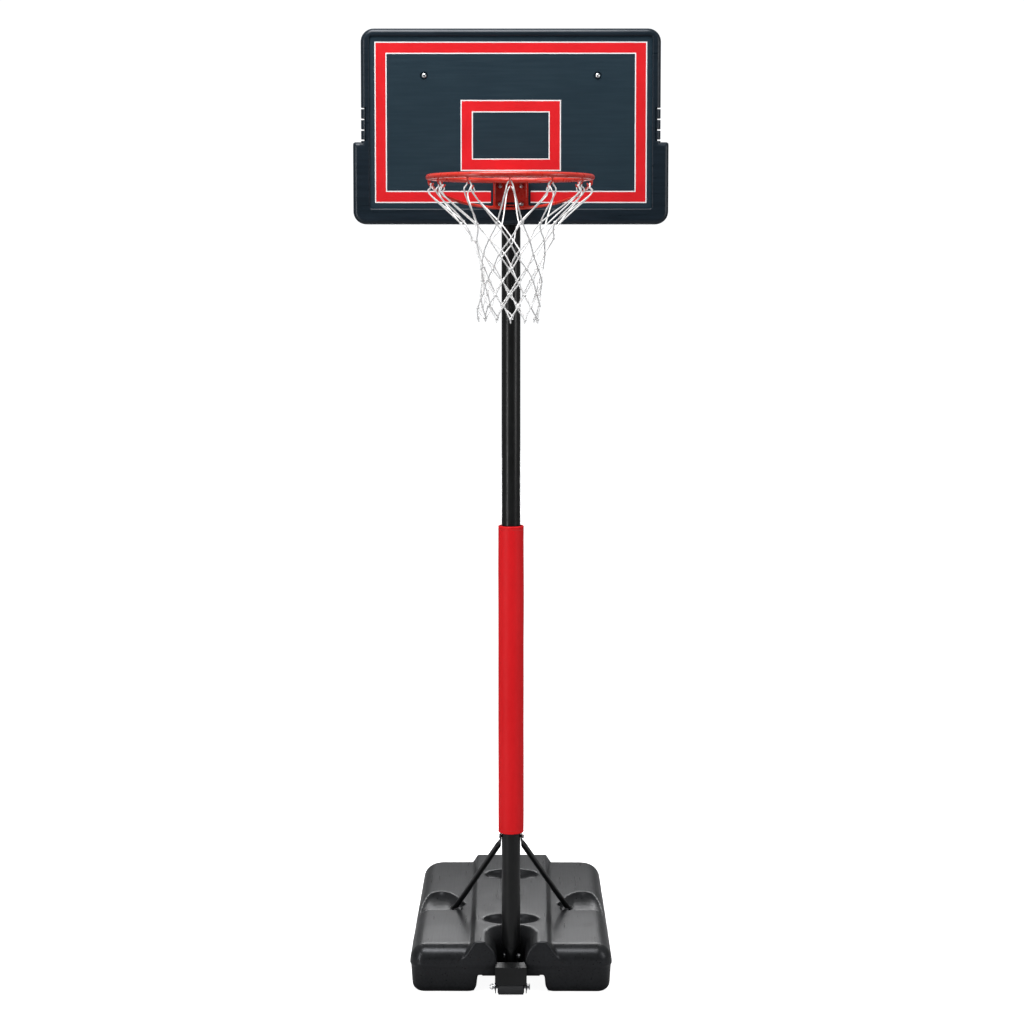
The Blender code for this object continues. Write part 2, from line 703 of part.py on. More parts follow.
def lower_pole():
    """The lower tube, its foot pressed flat between the shoe's ears."""
    levels = [(LOWER_POLE_BOTTOM, FOOT_HALF_X, FOOT_HALF_Y), (FOOT_FLAT_TOP, FOOT_HALF_X, FOOT_HALF_Y)]
    steps = 4
    for step in range(1, steps + 1):
        share = 0.5 - 0.5 * math.cos(math.pi * step / steps)
        height = FOOT_FLAT_TOP + (FOOT_ROUND_Z - FOOT_FLAT_TOP) * step / steps
        half_x = FOOT_HALF_X + (POLE_RADIUS - FOOT_HALF_X) * share
        levels.append((height, half_x, FOOT_HALF_Y + (POLE_RADIUS - FOOT_HALF_Y) * share))
    levels.append((LOWER_POLE_TOP, POLE_RADIUS, POLE_RADIUS))
    outer = [oval(half_x, half_y, z) for z, half_x, half_y in levels]
    inner = [oval(half_x - POLE_WALL, half_y - POLE_WALL, z) for z, half_x, half_y in reversed(levels)]
    bm = bmesh.new()
    add_loft(bm, outer + inner, closed=True)
    pole = add_object("lower_pole", bm, "black_steel")
    for z in (FOOT_BOLT_Z, STRUT_BOLT_Z, RIVET_Z):
        drill_across(pole, 0, z)
    smooth(pole)
    return pole


def middle_pole():
    """The outer tube that the upper pole telescopes in, drawn in at its foot to grip the lower pole."""
    outline = [(MIDDLE_RADIUS, MIDDLE_BOTTOM), (MIDDLE_RADIUS, MIDDLE_TOP), (MIDDLE_BORE, MIDDLE_TOP)]
    outline += [(MIDDLE_BORE, SWAGE_TOP + 0.004), (SWAGE_BORE, SWAGE_TOP), (SWAGE_BORE, MIDDLE_BOTTOM)]
    pole = solid("middle_pole", "black_steel", (add_tube, (outline, TUBE_SIDES)))
    drill_across(pole, 0, RIVET_Z)
    drill(pole, (0, 0, CLAMP_Z), (0, 1, 0), CLAMP_SCREW + GAP, 0.05)
    smooth(pole)
    return pole


def pole_rivet():
    reach = MIDDLE_RADIUS - 0.0006
    outline = ((BOLT_RADIUS, -reach), (BOLT_RADIUS, reach))
    return solid("pole_rivet", "zinc", (add_turned, (outline, BOLT_SIDES, (0, 0, RIVET_Z), (1, 0, 0))))


def slide_bushing():
    outer = MIDDLE_BORE - GAP
    shoulder = MIDDLE_TOP + GAP
    outline = ((outer, BUSHING_BOTTOM), (outer, shoulder), (MIDDLE_RADIUS, shoulder))
    outline += ((MIDDLE_RADIUS, BUSHING_TOP), (BUSHING_BORE, BUSHING_TOP), (BUSHING_BORE, BUSHING_BOTTOM))
    bushing = solid("slide_bushing", "black_plastic", (add_tube, (outline, TUBE_SIDES)))
    smooth(bushing)
    return bushing


def upper_pole():
    inner = POLE_RADIUS - POLE_WALL
    outline = ((POLE_RADIUS, UPPER_POLE_BOTTOM), (POLE_RADIUS, UPPER_POLE_TOP))
    outline += ((inner, UPPER_POLE_TOP), (inner, UPPER_POLE_BOTTOM))
    pole = solid("upper_pole", "black_steel", (add_tube, (outline, TUBE_SIDES)))
    for z in (*BRACKET_BOLT_Z, BRACE_BOLT_Z):
        drill_across(pole, 0, z)
    smooth(pole)
    return pole


def pole_cap():
    inner = POLE_RADIUS - POLE_WALL - GAP
    top = UPPER_POLE_TOP + GAP
    outline = ((inner - 0.001, top - 0.012), (inner, top - 0.010), (inner, top), (POLE_RADIUS, top))
    outline += ((POLE_RADIUS, top + 0.002), (POLE_RADIUS - 0.004, top + 0.005))
    cap = solid("pole_cap", "black_plastic", (add_turned, (outline, TUBE_SIDES)))
    smooth(cap)
    return cap


def pole_pad():
    """The foam sleeve round the pole, open along a seam at the back, with room for the clamp there."""
    steps = 32
    half_open = math.asin(PAD_SEAM / 2 / PAD_RADIUS)
    outline = []
    for radius, forwards in ((PAD_RADIUS, True), (PAD_BORE, False)):
        arc = []
        for step in range(steps + 1):
            turn = math.pi / 2 + half_open + (2 * math.pi - 2 * half_open) * step / steps
            arc.append((radius * math.cos(turn), radius * math.sin(turn)))
        outline += arc if forwards else arc[::-1]
    pad = solid("pole_pad", "red_foam", (add_prism, (outline, 2, PAD_BOTTOM, PAD_TOP)))
    hole = ((PAD_HOLE, 0.0), (PAD_HOLE, 0.06))
    cut(pad, add_turned, hole, 24, (0, 0.02, CLAMP_Z), (0, 1, 0))
    smooth(pad)
    return pad


def clamp_boss():
    """A threaded sleeve on the middle tube's back for the clamp screw."""
    start = MIDDLE_RADIUS + GAP
    bore = CLAMP_SCREW + GAP
    outline = ((CLAMP_BOSS_RADIUS, start), (CLAMP_BOSS_RADIUS, CLAMP_BOSS_END))
    outline += ((bore, CLAMP_BOSS_END), (bore, start))
    boss = solid("clamp_boss", "black_steel", (add_tube, (outline, 24, (0, 0, CLAMP_Z), (0, 1, 0))))
    smooth(boss)
    return boss


def clamp_screw():
    outline = ((CLAMP_TIP, POLE_RADIUS + GAP), (CLAMP_SCREW, POLE_RADIUS + 0.0015))
    outline += ((CLAMP_SCREW, KNOB_START + KNOB_GRIP), )
    screw = solid("clamp_screw", "zinc", (add_turned, (outline, BOLT_SIDES, (0, 0, 0), (0, 1, 0))))
    smooth(screw)
    return screw


def clamp_knob():
    """A five-lobed hand knob on the clamp screw."""
    sides = 40
    rings = []
    for height, scale in ((0.0, 0.86), (0.002, 1.0), (KNOB_DEPTH - 0.002, 1.0), (KNOB_DEPTH, 0.86)):
        ring = []
        for i in range(sides):
            turn = 2 * math.pi * i / sides
            radius = (KNOB_RADIUS + KNOB_LOBE * math.cos(KNOB_LOBES * turn)) * scale
            ring.append(Vector((radius * math.cos(turn), KNOB_START + height, radius * math.sin(turn))))
        rings.append(ring)
    knob = solid("clamp_knob", "black_plastic", (add_loft, (rings,)))
    drill(knob, (0, KNOB_START - 0.01, 0), (0, 1, 0), CLAMP_SCREW + GAP, KNOB_GRIP + 0.0105)
    smooth(knob)
    return knob


# ---------------------------------------------------------------- struts, braces and their bolts


def strut(side, name):
    """A tube from the pole's side down to its seat in the base's side pocket."""
    x_top = side * (POLE_RADIUS + GAP + TAB_HALF)
    top = ((x_top, 0, PAD_BOTTOM - 0.0008), (x_top, 0, STRUT_BOLT_Z - TAB_LONG))
    foot_z = SEAT_Z + GAP + TAB_HALF
    along = Vector((side * 0.40, 0.90, 0)).normalized()
    middle = Vector((side * SEAT_CENTRE[0], SEAT_CENTRE[1], foot_z))
    foot = (middle + along * TAB_END, middle - along * TAB_SHORT)
    bar = strut_stations(top, (side, 0, 0), foot, (0, 0, 1))
    tube = solid(name, "black_steel", (add_bar, (bar, STRUT_SIDES)))
    drill_across(tube, 0, STRUT_BOLT_Z)
    drill(tube, (middle.x, middle.y, foot_z - 0.01), (0, 0, 1), BOLT_HOLE, 0.02)
    smooth(tube)
    return tube


def upper_brace(side, name):
    """A tube from the pole's top out to the board's upper bolt."""
    x_pole = side * (POLE_RADIUS + GAP + TAB_HALF)
    y_board = PANEL_BACK + GAP + TAB_HALF
    along = Vector((side * (UPPER_BOLT_X - POLE_RADIUS), 0, UPPER_BOLT_Z - BRACE_BOLT_Z)).normalized()
    board_end = Vector((side * UPPER_BOLT_X, y_board, UPPER_BOLT_Z))
    board = (board_end + along * TAB_END, board_end - along * TAB_MEDIUM)
    pole = ((x_pole, 0.008, BRACE_BOLT_Z - 0.012), (x_pole, -0.012, BRACE_BOLT_Z + 0.018))
    bar = strut_stations(pole, (side, 0, 0), board, (0, 1, 0))
    tube = solid(name, "black_steel", (add_bar, (bar, STRUT_SIDES)))
    drill(tube, (side * 0.02, 0, BRACE_BOLT_Z), (side, 0, 0), BOLT_HOLE, 0.04)
    drill(tube, (board_end.x, y_board - 0.01, UPPER_BOLT_Z), (0, 1, 0), BOLT_HOLE, 0.03)
    smooth(tube)
    return tube


def through_bolts(name, heights, grip):
    """Bolts across the pole along X with their nuts, where grip is the clamped stack's half width."""
    reach = grip + GAP
    length = 2 * reach + NUT_HEIGHT + THREAD_END
    made = fasten(name + "_bolt", bolt_shape(length), [((-reach, 0, z), (1, 0, 0)) for z in heights])
    return made + fasten(name + "_nut", nut_shape(), [((reach, 0, z), (1, 0, 0)) for z in heights])


# ---------------------------------------------------------------- board and rim


def arc_points(centre, radius, start, steps=6):
    points = []
    for step in range(steps + 1):
        turn = math.radians(start + 90 * step / steps)
        points.append((centre[0] + radius * math.cos(turn), centre[1] + radius * math.sin(turn)))
    return points


def board_half_outline():
    """The board's right edge from the bottom up, with its step and four notches."""
    low, high, corner = BOARD_HALF_LOW, BOARD_HALF_HIGH, BOARD_CORNER
    points = arc_points((low - corner, BOARD_BOTTOM + corner), corner, -90)
    points += [(low, BOARD_STEP_Z - 0.006), (low - 0.006, BOARD_STEP_Z), (high, BOARD_STEP_Z)]
    for z in NOTCH_Z:
        points += [(high, z), (high - NOTCH_DEPTH, z + 0.001)]
        points += [(high - NOTCH_DEPTH, z + NOTCH_HEIGHT - 0.001), (high, z + NOTCH_HEIGHT)]
    points += arc_points((high - corner, BOARD_TOP - corner), corner, 0)
    return points


def board_frame():
    """The board's moulded border, with a rebate behind its opening for the panel."""
    right = board_half_outline()
    outline = right + [(-x, z) for x, z in reversed(right)]
    prism = (add_prism, (outline, 1, BOARD_FRONT, BOARD_FRONT + BOARD_DEPTH))
    frame = solid("board_frame", "slate_plastic", prism)
    low = (-OPENING_HALF, BOARD_FRONT - 0.01, OPENING_BOTTOM)
    high = (OPENING_HALF, BOARD_FRONT + BOARD_DEPTH + 0.01, OPENING_TOP)
    cut(frame, add_box, low, high)
    low = (-OPENING_HALF - REBATE, PANEL_FRONT, OPENING_BOTTOM - REBATE)
    high = (OPENING_HALF + REBATE, BOARD_FRONT + BOARD_DEPTH + 0.01, OPENING_TOP + REBATE)
    cut(frame, add_box, low, high)
    return frame


def board_panel():
    """The playing panel, stiffened behind by a grid of ribs that leaves room for the steelwork."""
    half = OPENING_HALF + REBATE - GAP
    bottom = OPENING_BOTTOM - REBATE + GAP
    top = OPENING_TOP + REBATE - GAP
    sheet = (add_box, ((-half, PANEL_FRONT + GAP, bottom), (half, PANEL_BACK, top)))
    panel = solid("board_panel", "slate_plastic", sheet)
    back = PANEL_BACK + RIB_DEPTH
    root = PANEL_BACK - 0.001
    thick = RIB_THICKNESS / 2
    low_end, high_end, side_end = bottom + RIB_MARGIN, top - RIB_MARGIN, half - RIB_MARGIN
    for x in RIB_X:
        for side in (-1, 1):
            rib = side * x
            join(panel, add_box, (rib - thick, root, low_end), (rib + thick, back, high_end))
    for z in RIB_Z:
        join(panel, add_box, (-side_end, root, z - thick), (side_end, back + 0.0005, z + thick))
    front = PANEL_FRONT - 0.01
    for side in (-1, 1):
        drill(panel, (side * UPPER_BOLT_X, front, UPPER_BOLT_Z), (0, 1, 0), BOLT_HOLE, 0.05)
        for z in RIM_BOLT_Z:
            drill(panel, (side * RIM_BOLT_X, front, z), (0, 1, 0), BOLT_HOLE, 0.05)
    return panel


def board_bracket():
    """The folded steel bracket that clamps the rim's bolts and reaches back round the pole."""
    front = PANEL_BACK + GAP
    back = front + SHEET
    plate = ((-BRACKET_HALF, front, BRACKET_BOTTOM), (BRACKET_HALF, back, BRACKET_TOP))
    bracket = solid("board_bracket", "black_steel", (add_box, plate))
    near, far = POLE_RADIUS + GAP, POLE_RADIUS + GAP + SHEET
    arm = [(near, 0.032), (far, 0.032), (far, -0.045)]
    arm += [(BRACKET_HALF - 0.002, back - 0.001), (BRACKET_HALF - 0.005, back - 0.001), (near, -0.046)]
    for side in (-1, 1):
        outline = [(side * x, y) for x, y in arm]
        join(bracket, add_prism, outline, 2, BRACKET_BOTTOM, BRACKET_TOP)
        for z in RIM_BOLT_Z:
            drill(bracket, (side * RIM_BOLT_X, front - 0.01, z), (0, 1, 0), BOLT_HOLE, 0.02)
    for z in BRACKET_BOLT_Z:
        drill_across(bracket, 0, z)
    return bracket


def ring_point(turn, radius=RING_RADIUS, z=RING_Z):
    """A point round the ring; turn 0 is its right side and -90 degrees its front."""
    return Vector((radius * math.cos(turn), radius * math.sin(turn) - RIM_REACH, z))


def hook_points(turn):
    """A hook's route: down from inside the ring's wire, then curling inwards and up."""
    return [ring_point(turn, RING_RADIUS + out, RING_Z - RING_WIRE + up) for out, up in HOOK_ROUTE]


def rim_ring():
    """The ring with its welded net hooks."""
    steps = 48
    wire_sides = 10
    rings = []
    for step in range(steps):
        turn = 2 * math.pi * step / steps
        ring = []
        for i in range(wire_sides):
            around = 2 * math.pi * i / wire_sides
            radius = RING_RADIUS + RING_WIRE * math.cos(around)
            ring.append(ring_point(turn, radius, RING_Z + RING_WIRE * math.sin(around)))
        rings.append(ring)
    ring = solid("rim_ring", "red_steel", (add_loft, (rings, True)))
    hooks = []
    for index in range(HOOK_COUNT):
        turn = 2 * math.pi * index / HOOK_COUNT - math.pi / 2
        tangent = (-math.sin(turn), math.cos(turn), 0)
        hooks.append((add_wire, (hook_points(turn), HOOK_WIRE, 6, tangent)))
    combine(ring, solid("hooks", None, *hooks), "UNION")
    smooth(ring, 60)
    return ring


def rim_mount():
    """The rim's wall plate, its top shelf that meets the ring and two side gussets."""
    low = (-PLATE_HALF, PLATE_FRONT, PLATE_BOTTOM)
    mount = solid("rim_mount", "red_steel", (add_box, (low, (PLATE_HALF, PLATE_BACK, PLATE_TOP))))
    outer = RING_RADIUS + RING_WIRE + GAP
    shelf = [(-SHELF_HALF, PLATE_FRONT + 0.001)]
    for step in range(9):
        turn = math.radians(105 - 30 * step / 8)
        shelf.append((outer * math.cos(turn), outer * math.sin(turn) - RIM_REACH))
    shelf.append((SHELF_HALF, PLATE_FRONT + 0.001))
    join(mount, add_prism, shelf, 2, PLATE_TOP - 0.006, PLATE_TOP)
    tip = outer * math.cos(math.asin((GUSSET_X + SHEET) / outer)) - RIM_REACH + 0.0005
    root, under_shelf = PLATE_FRONT + 0.001, PLATE_TOP - 0.001
    gusset = [(root, PLATE_BOTTOM + 0.004), (root, under_shelf), (tip, under_shelf)]
    gusset += [(tip, PLATE_TOP - 0.018), (PLATE_FRONT - 0.030, PLATE_BOTTOM + 0.010)]
    for side in (-1, 1):
        low, high = sorted((side * GUSSET_X, side * (GUSSET_X + SHEET)))
        join(mount, add_prism, gusset, 0, low, high)
        for z in RIM_BOLT_Z:
            drill(mount, (side * RIM_BOLT_X, PLATE_FRONT - 0.01, z), (0, 1, 0), BOLT_HOLE, 0.02)
    low = (-SLOT_HALF, PLATE_FRONT - 0.01, SLOT_Z[0])
    cut(mount, add_box, low, (SLOT_HALF, PLATE_BACK + 0.01, SLOT_Z[1]))
    return mount


def rim_support_rod():
    """The lower rod: it leaves the ring behind its side hooks and drops back to the wall plate's foot."""
    steps = 24
    start = math.radians(6)
    reach = RIM_REACH + BOARD_FRONT - SUPPORT_WIRE - GAP
    top = RING_Z - RING_WIRE - SUPPORT_WIRE - GAP
    points = []
    for step in range(steps + 1):
        turn = start + (math.pi - 2 * start) * step / steps
        drop = SUPPORT_DROP * (math.sin(turn) - math.sin(start)) / (1 - math.sin(start))
        points.append((RING_RADIUS * math.cos(turn), reach * math.sin(turn) - RIM_REACH, top - drop))
    rod = solid("rim_support_rod", "red_steel", (add_wire, (points, SUPPORT_WIRE, 8, (0, 0, 1))))
    smooth(rod, 60)
    return rod


def net():
    half = NET_THICKNESS / 2
    outline = [(radius + half, z) for radius, z in NET_PROFILE]
    outline += [(radius - half, z) for radius, z in reversed(NET_PROFILE)]
    funnel = solid("net", "white_cord", (add_tube, (outline, TUBE_SIDES, (0, -RIM_REACH, 0))))
    smooth(funnel, 60)
    return funnel


# ---------------------------------------------------------------- assembly


def mast_fasteners():
    stack_back = PANEL_BACK + 2 * GAP + SHEET
    seats = [(side * RIM_BOLT_X, z) for side in (-1, 1) for z in RIM_BOLT_Z]
    length = stack_back + NUT_HEIGHT + THREAD_END - PLATE_FRONT
    back = (0, 1, 0)
    made = fasten("rim_bolt", bolt_shape(length), [((x, PLATE_FRONT - GAP, z), back) for x, z in seats])
    made += fasten("rim_nut", nut_shape(), [((x, stack_back, z), back) for x, z in seats])
    tab_back = PANEL_BACK + 2 * GAP + 2 * TAB_HALF
    length = tab_back + NUT_HEIGHT + THREAD_END - PANEL_FRONT
    seats = [side * UPPER_BOLT_X for side in (-1, 1)]
    places = [((x, PANEL_FRONT, UPPER_BOLT_Z), back) for x in seats]
    made += fasten("board_bolt", bolt_shape(length), places)
    made += fasten("board_nut", nut_shape(), [((x, tab_back, UPPER_BOLT_Z), back) for x in seats])
    made += through_bolts("bracket", BRACKET_BOLT_Z, POLE_RADIUS + GAP + SHEET)
    return made + through_bolts("brace", (BRACE_BOLT_Z,), POLE_RADIUS + GAP + 2 * TAB_HALF)


def base_fasteners():
    made = through_bolts("strut", (STRUT_BOLT_Z,), POLE_RADIUS + GAP + 2 * TAB_HALF)
    made += through_bolts("pole_foot", (FOOT_BOLT_Z,), EAR_X + SHEET)
    seat_top = SEAT_Z + 2 * GAP + 2 * TAB_HALF
    seats = [((side * SEAT_CENTRE[0], SEAT_CENTRE[1], seat_top), (0, 0, -1)) for side in (-1, 1)]
    made += fasten("strut_foot_bolt", bolt_shape(SEAT_BOLT), seats)
    under = SHOE_FLOOR - SHEET - GAP
    seats = [((side * SHOE_BOLT_X, y, under), (0, 0, 1)) for side in (-1, 1) for y in SHOE_BOLT_Y]
    return made + fasten("shoe_bolt", bolt_shape(SHOE_BOLT), seats)


def empty(name, place, parent):
    made = bpy.data.objects.new(name, None)
    made.location = place
    made.parent = parent
    bpy.context.scene.collection.objects.link(made)
    return made


def main():
    clear_scene()
    hoop = empty("hoop", (0, POLE_Y, 0), None)
    mast = empty("height_slide", (0, 0, UPPER_POLE_BOTTOM), hoop)
    roller_axis = empty("roller_axis", (0, ROLLER_Y, ROLLER_Z), hoop)
    clamp_axis = empty("clamp_axis", (0, 0, CLAMP_Z), hoop)
    on_mast = [upper_pole(), pole_cap(), board_frame(), board_panel(), board_bracket()]
    on_mast += [upper_brace(-1, "upper_brace_left"), upper_brace(1, "upper_brace_right")]
    on_mast += [rim_ring(), rim_mount(), rim_support_rod(), net()]
    on_base = [base_tank(), water_ballast(), pole_shoe(), lower_pole(), middle_pole(), pole_rivet()]
    on_base += [strut(-1, "strut_left"), strut(1, "strut_right"), pole_pad(), slide_bushing(), clamp_boss()]
    on_base += [roller_axle(), cotter_pin(), fill_cap()]
    for item in on_base + base_fasteners() + axle_washers():
        item.parent = hoop
    for item in on_mast + mast_fasteners():
        item.parent = mast
        item.location.z -= UPPER_POLE_BOTTOM
    roller_wheel().parent = roller_axis
    for item in (clamp_screw(), clamp_knob()):
        item.parent = clamp_axis


main()
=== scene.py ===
"""Looks for the portable basketball hoop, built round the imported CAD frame. Metres, +Z up, the hoop faces -Y.

Lengths along Y are first measured from the pole's axis and then moved by POLE_Y, which comes from the frame.
"""

import json
import math
import random

import bmesh
import bpy
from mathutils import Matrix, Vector, noise

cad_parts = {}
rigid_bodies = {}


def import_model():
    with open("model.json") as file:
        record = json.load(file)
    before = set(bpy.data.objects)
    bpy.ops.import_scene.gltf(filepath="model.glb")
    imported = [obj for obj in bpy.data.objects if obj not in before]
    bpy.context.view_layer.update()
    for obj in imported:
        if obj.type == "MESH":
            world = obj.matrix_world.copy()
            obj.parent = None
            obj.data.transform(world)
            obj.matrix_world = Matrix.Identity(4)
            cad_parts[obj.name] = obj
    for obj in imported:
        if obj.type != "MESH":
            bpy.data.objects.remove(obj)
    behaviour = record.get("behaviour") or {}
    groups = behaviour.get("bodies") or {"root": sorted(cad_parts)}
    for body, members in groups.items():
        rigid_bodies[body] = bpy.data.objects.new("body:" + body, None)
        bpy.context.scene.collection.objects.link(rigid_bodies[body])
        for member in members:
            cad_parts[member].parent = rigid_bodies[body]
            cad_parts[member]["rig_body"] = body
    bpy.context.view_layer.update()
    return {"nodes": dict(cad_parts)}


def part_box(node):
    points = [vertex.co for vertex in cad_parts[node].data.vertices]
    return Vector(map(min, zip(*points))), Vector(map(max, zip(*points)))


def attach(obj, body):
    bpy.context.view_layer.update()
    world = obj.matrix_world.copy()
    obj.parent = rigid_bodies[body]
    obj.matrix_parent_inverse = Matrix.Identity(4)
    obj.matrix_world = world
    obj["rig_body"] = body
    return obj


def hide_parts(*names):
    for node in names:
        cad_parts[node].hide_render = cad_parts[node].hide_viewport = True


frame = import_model()


def low(node):
    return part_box(node)[0]


def high(node):
    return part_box(node)[1]


def centre(node):
    return (low(node) + high(node)) / 2


GAP = 0.0003
POLE_Y = centre("upper_pole").y

# Ring and net
RING_WIRE = 0.008
RING_RADIUS = high("rim_ring").x - RING_WIRE
RING_Z = high("rim_ring").z - RING_WIRE
RIM_REACH = POLE_Y - (low("rim_ring").y + RING_RADIUS + RING_WIRE)
HOOK_COUNT = 12
HOOK_WIRE = 0.002
HOOK_PROFILE = (
    (0.0, 0.003), (0.0005, -0.006), (-0.001, -0.012), (-0.005, -0.016),
    (-0.010, -0.0155), (-0.0135, -0.012), (-0.014, -0.008))
SUPPORT_WIRE = 0.0045
CORD_RADIUS = 0.0020
CORD_TWIST = 0.011
NET_ROWS = (
    (0.142, 2.450), (0.118, 2.402), (0.100, 2.360), (0.088, 2.320),
    (0.085, 2.282), (0.086, 2.245), (0.089, 2.209), (0.086, 2.176))
NET_TAIL = 0.011

# Board
BOARD_FRONT = low("board_frame").y - POLE_Y
BOARD_BACK = high("board_frame").y - POLE_Y
BOARD_BOTTOM = low("board_frame").z
BOARD_TOP = high("board_frame").z
BOARD_HALF_LOW = high("board_frame").x
BOARD_HALF_HIGH = BOARD_HALF_LOW - 0.025
BOARD_STEP_Z = 2.705
BOARD_CORNER = 0.040
BOARD_ROLL = 0.015
BOARD_BACK_ROLL = 0.006
NOTCH_Z = (2.7085, 2.7395, 2.772, 2.805)
NOTCH_HEIGHT = 0.006
NOTCH_DEPTH = 0.0105
GROOVE_IN = 0.0165
GROOVE_OUT = 0.0140
GROOVE_DEPTH = 0.0045
OPENING_HALF = 0.432
OPENING_BOTTOM = 2.5025
OPENING_TOP = 3.026
OPENING_CORNER = 0.006
REBATE = 0.012
PANEL_FRONT = low("board_panel").y - POLE_Y
PRINT_DEPTH = 0.00025
LINE_WIDTH = 0.0034
BORDER_GAP = 0.061
# Half width, bottom, top and band width of the two prints
BORDER_PRINT = (0.4166, 2.5194, 3.0094, 0.0371)
TARGET_PRINT = (0.1537, 2.6171, 2.8329, 0.0379)

# Base tank
TANK_VOXEL = 0.0036
BASE_FRONT = low("base_tank").y - POLE_Y
BASE_BACK = high("base_tank").y - POLE_Y
BASE_HALF_FRONT = high("base_tank").x
BASE_HALF_BACK = BASE_HALF_FRONT - 0.0053
FRONT_CORNER = 0.050
BACK_CORNER = 0.078
BOTTOM_ROLL = 0.028
TOP_ROLL = 0.050
DRAFT = 0.004
PARTING_Z = 0.090
PARTING_STEP = 0.0042
SIDE_TOP = 0.153
RIDGE_TOP = high("base_tank").z
RIDGE_HALF_FRONT = 0.1167
RIDGE_HALF_BACK = 0.1248
RIDGE_BACK = 0.9295
RIDGE_FOOT = 0.094
RIDGE_RUN = 0.65
TUNNEL_TOP = 0.0608
TUNNEL_HALF = 0.107
TUNNEL_BACK = 0.130
SLOT_HALF_LOW = 0.0445
SLOT_HALF_HIGH = 0.086
SLOT_FLARE_Z = 0.085
DIMPLES = ((0.672, 0.0943, 0.063), (0.149, 0.091, 0.055))
DIMPLE_DEPTH = 0.032
SCOOP_CENTRE = (0.245, 0.309, 0.162)
SCOOP_RADII = (0.080, 0.216, 0.055)
SEAT_CENTRE = (0.199, 0.378)
SEAT_RADIUS = 0.040
SEAT_Z = 0.136
NECK_RADIUS = 0.021

# Poles, pad and struts
POLE_RADIUS = 0.030
POLE_WALL = 0.0016
FOOT_FLAT_TOP = 0.107
FOOT_ROUND_Z = 0.138
FOOT_HALF_X = 0.017
FOOT_HALF_Y = 0.0375
MIDDLE_RADIUS = 0.0333
MIDDLE_BORE = 0.0313
SWAGE_BORE = 0.0303
SWAGE_TOP = 0.620
PAD_RADIUS = 0.0413
PAD_BORE = 0.0337
PAD_BOTTOM = low("pole_pad").z
PAD_TOP = high("pole_pad").z
PAD_SEAM = 0.014
PAD_HEM = 0.0040
PAD_HOLE = 0.017
STITCH_MARGIN = 0.012
CLAMP_Z = centre("clamp_boss").z
STRUT_RADIUS = 0.0095
TAB_HALF = 0.0025
TAB_WIDTH = 0.0115
BOLT_RADIUS = 0.004
HEAD_RADIUS = 0.0075
HEAD_HEIGHT = 0.0045
SOCKET_APOTHEM = 0.0021
NUT_APOTHEM = 0.0065
STRUT_BOLT_Z = centre("strut_bolt").z
BRACE_BOLT_Z = centre("brace_bolt").z
UPPER_BOLT_Z = centre("board_bolt_1").z
UPPER_BOLT_X = abs(centre("board_bolt_1").x)
AXLE_RADIUS = 0.0060
PIN_WIRE = 0.0011
SCREW_RADIUS = 0.0040
KNOB_RADIUS = 0.020
THREAD_PITCH = 0.00125
THREAD_DEPTH = 0.00045
AXIS = 0.0005
ALONG = {"x": (1, 0, 0), "y": (0, 1, 0), "up": (0, 0, 1), "down": (0, 0, -1)}

# Lights: name, place, target, width, height, watts
LIGHTS = (
    ("overhead", (-0.5, -1.5, 5.4), (0, 0, 1.0), 2.1, 2.1, 155),
    ("left_strip", (-3.4, -3.2, 1.9), (0, 0, 1.1), 0.4, 3.8, 62),
    ("right_fill", (3.8, -2.2, 2.6), (0, 0, 1.1), 1.2, 3.0, 43),
    ("back_glow", (0, 2.3, 1.35), (0, 0.2, 0.1), 2.0, 0.35, 16),
)
FLOOR_RADIUS = 15.0


def place(x, y, z):
    """A point given from the pole's axis."""
    return Vector((x, y + POLE_Y, z))


def circle(count, shift=0.0):
    """Equal steps of turn round a full circle."""
    return [2 * math.pi * (step + shift) / count for step in range(count)]


def arc(start, span, steps):
    """Steps of turn over a span given in degrees, both ends included."""
    return [math.radians(start + span * step / steps) for step in range(steps + 1)]


# ---------------------------------------------------------------- materials


class Nodes:
    """Makes and links the nodes of one shader tree. A value may be a number, a colour or a socket."""

    def __init__(self, tree):
        self.tree = tree

    def node(self, kind, **inputs):
        made = self.tree.nodes.new(kind)
        for name, value in inputs.items():
            self.feed(made.inputs[name.replace("_", " ")], value)
        return made

    def feed(self, socket, value):
        if isinstance(value, bpy.types.NodeSocket):
            self.tree.links.new(value, socket)
        else:
            socket.default_value = value

    def spread(self, value, start=0.3, end=0.7, low_value=0.0, high_value=1.0):
        """Stretch a value from start..end to low_value..high_value."""
        limits = {"From_Min": start, "From_Max": end, "To_Min": low_value, "To_Max": high_value}
        return self.node("ShaderNodeMapRange", Value=value, **limits).outputs[0]

    def add(self, first, second, operation="ADD"):
        made = self.tree.nodes.new("ShaderNodeMath")
        made.operation = operation
        self.feed(made.inputs[0], first)
        self.feed(made.inputs[1], second)
        return made.outputs[0]

    def camera_ray(self):
        """1 for what the camera sees directly, 0 for light and reflections."""
        return self.node("ShaderNodeLightPath").outputs["Is Camera Ray"]


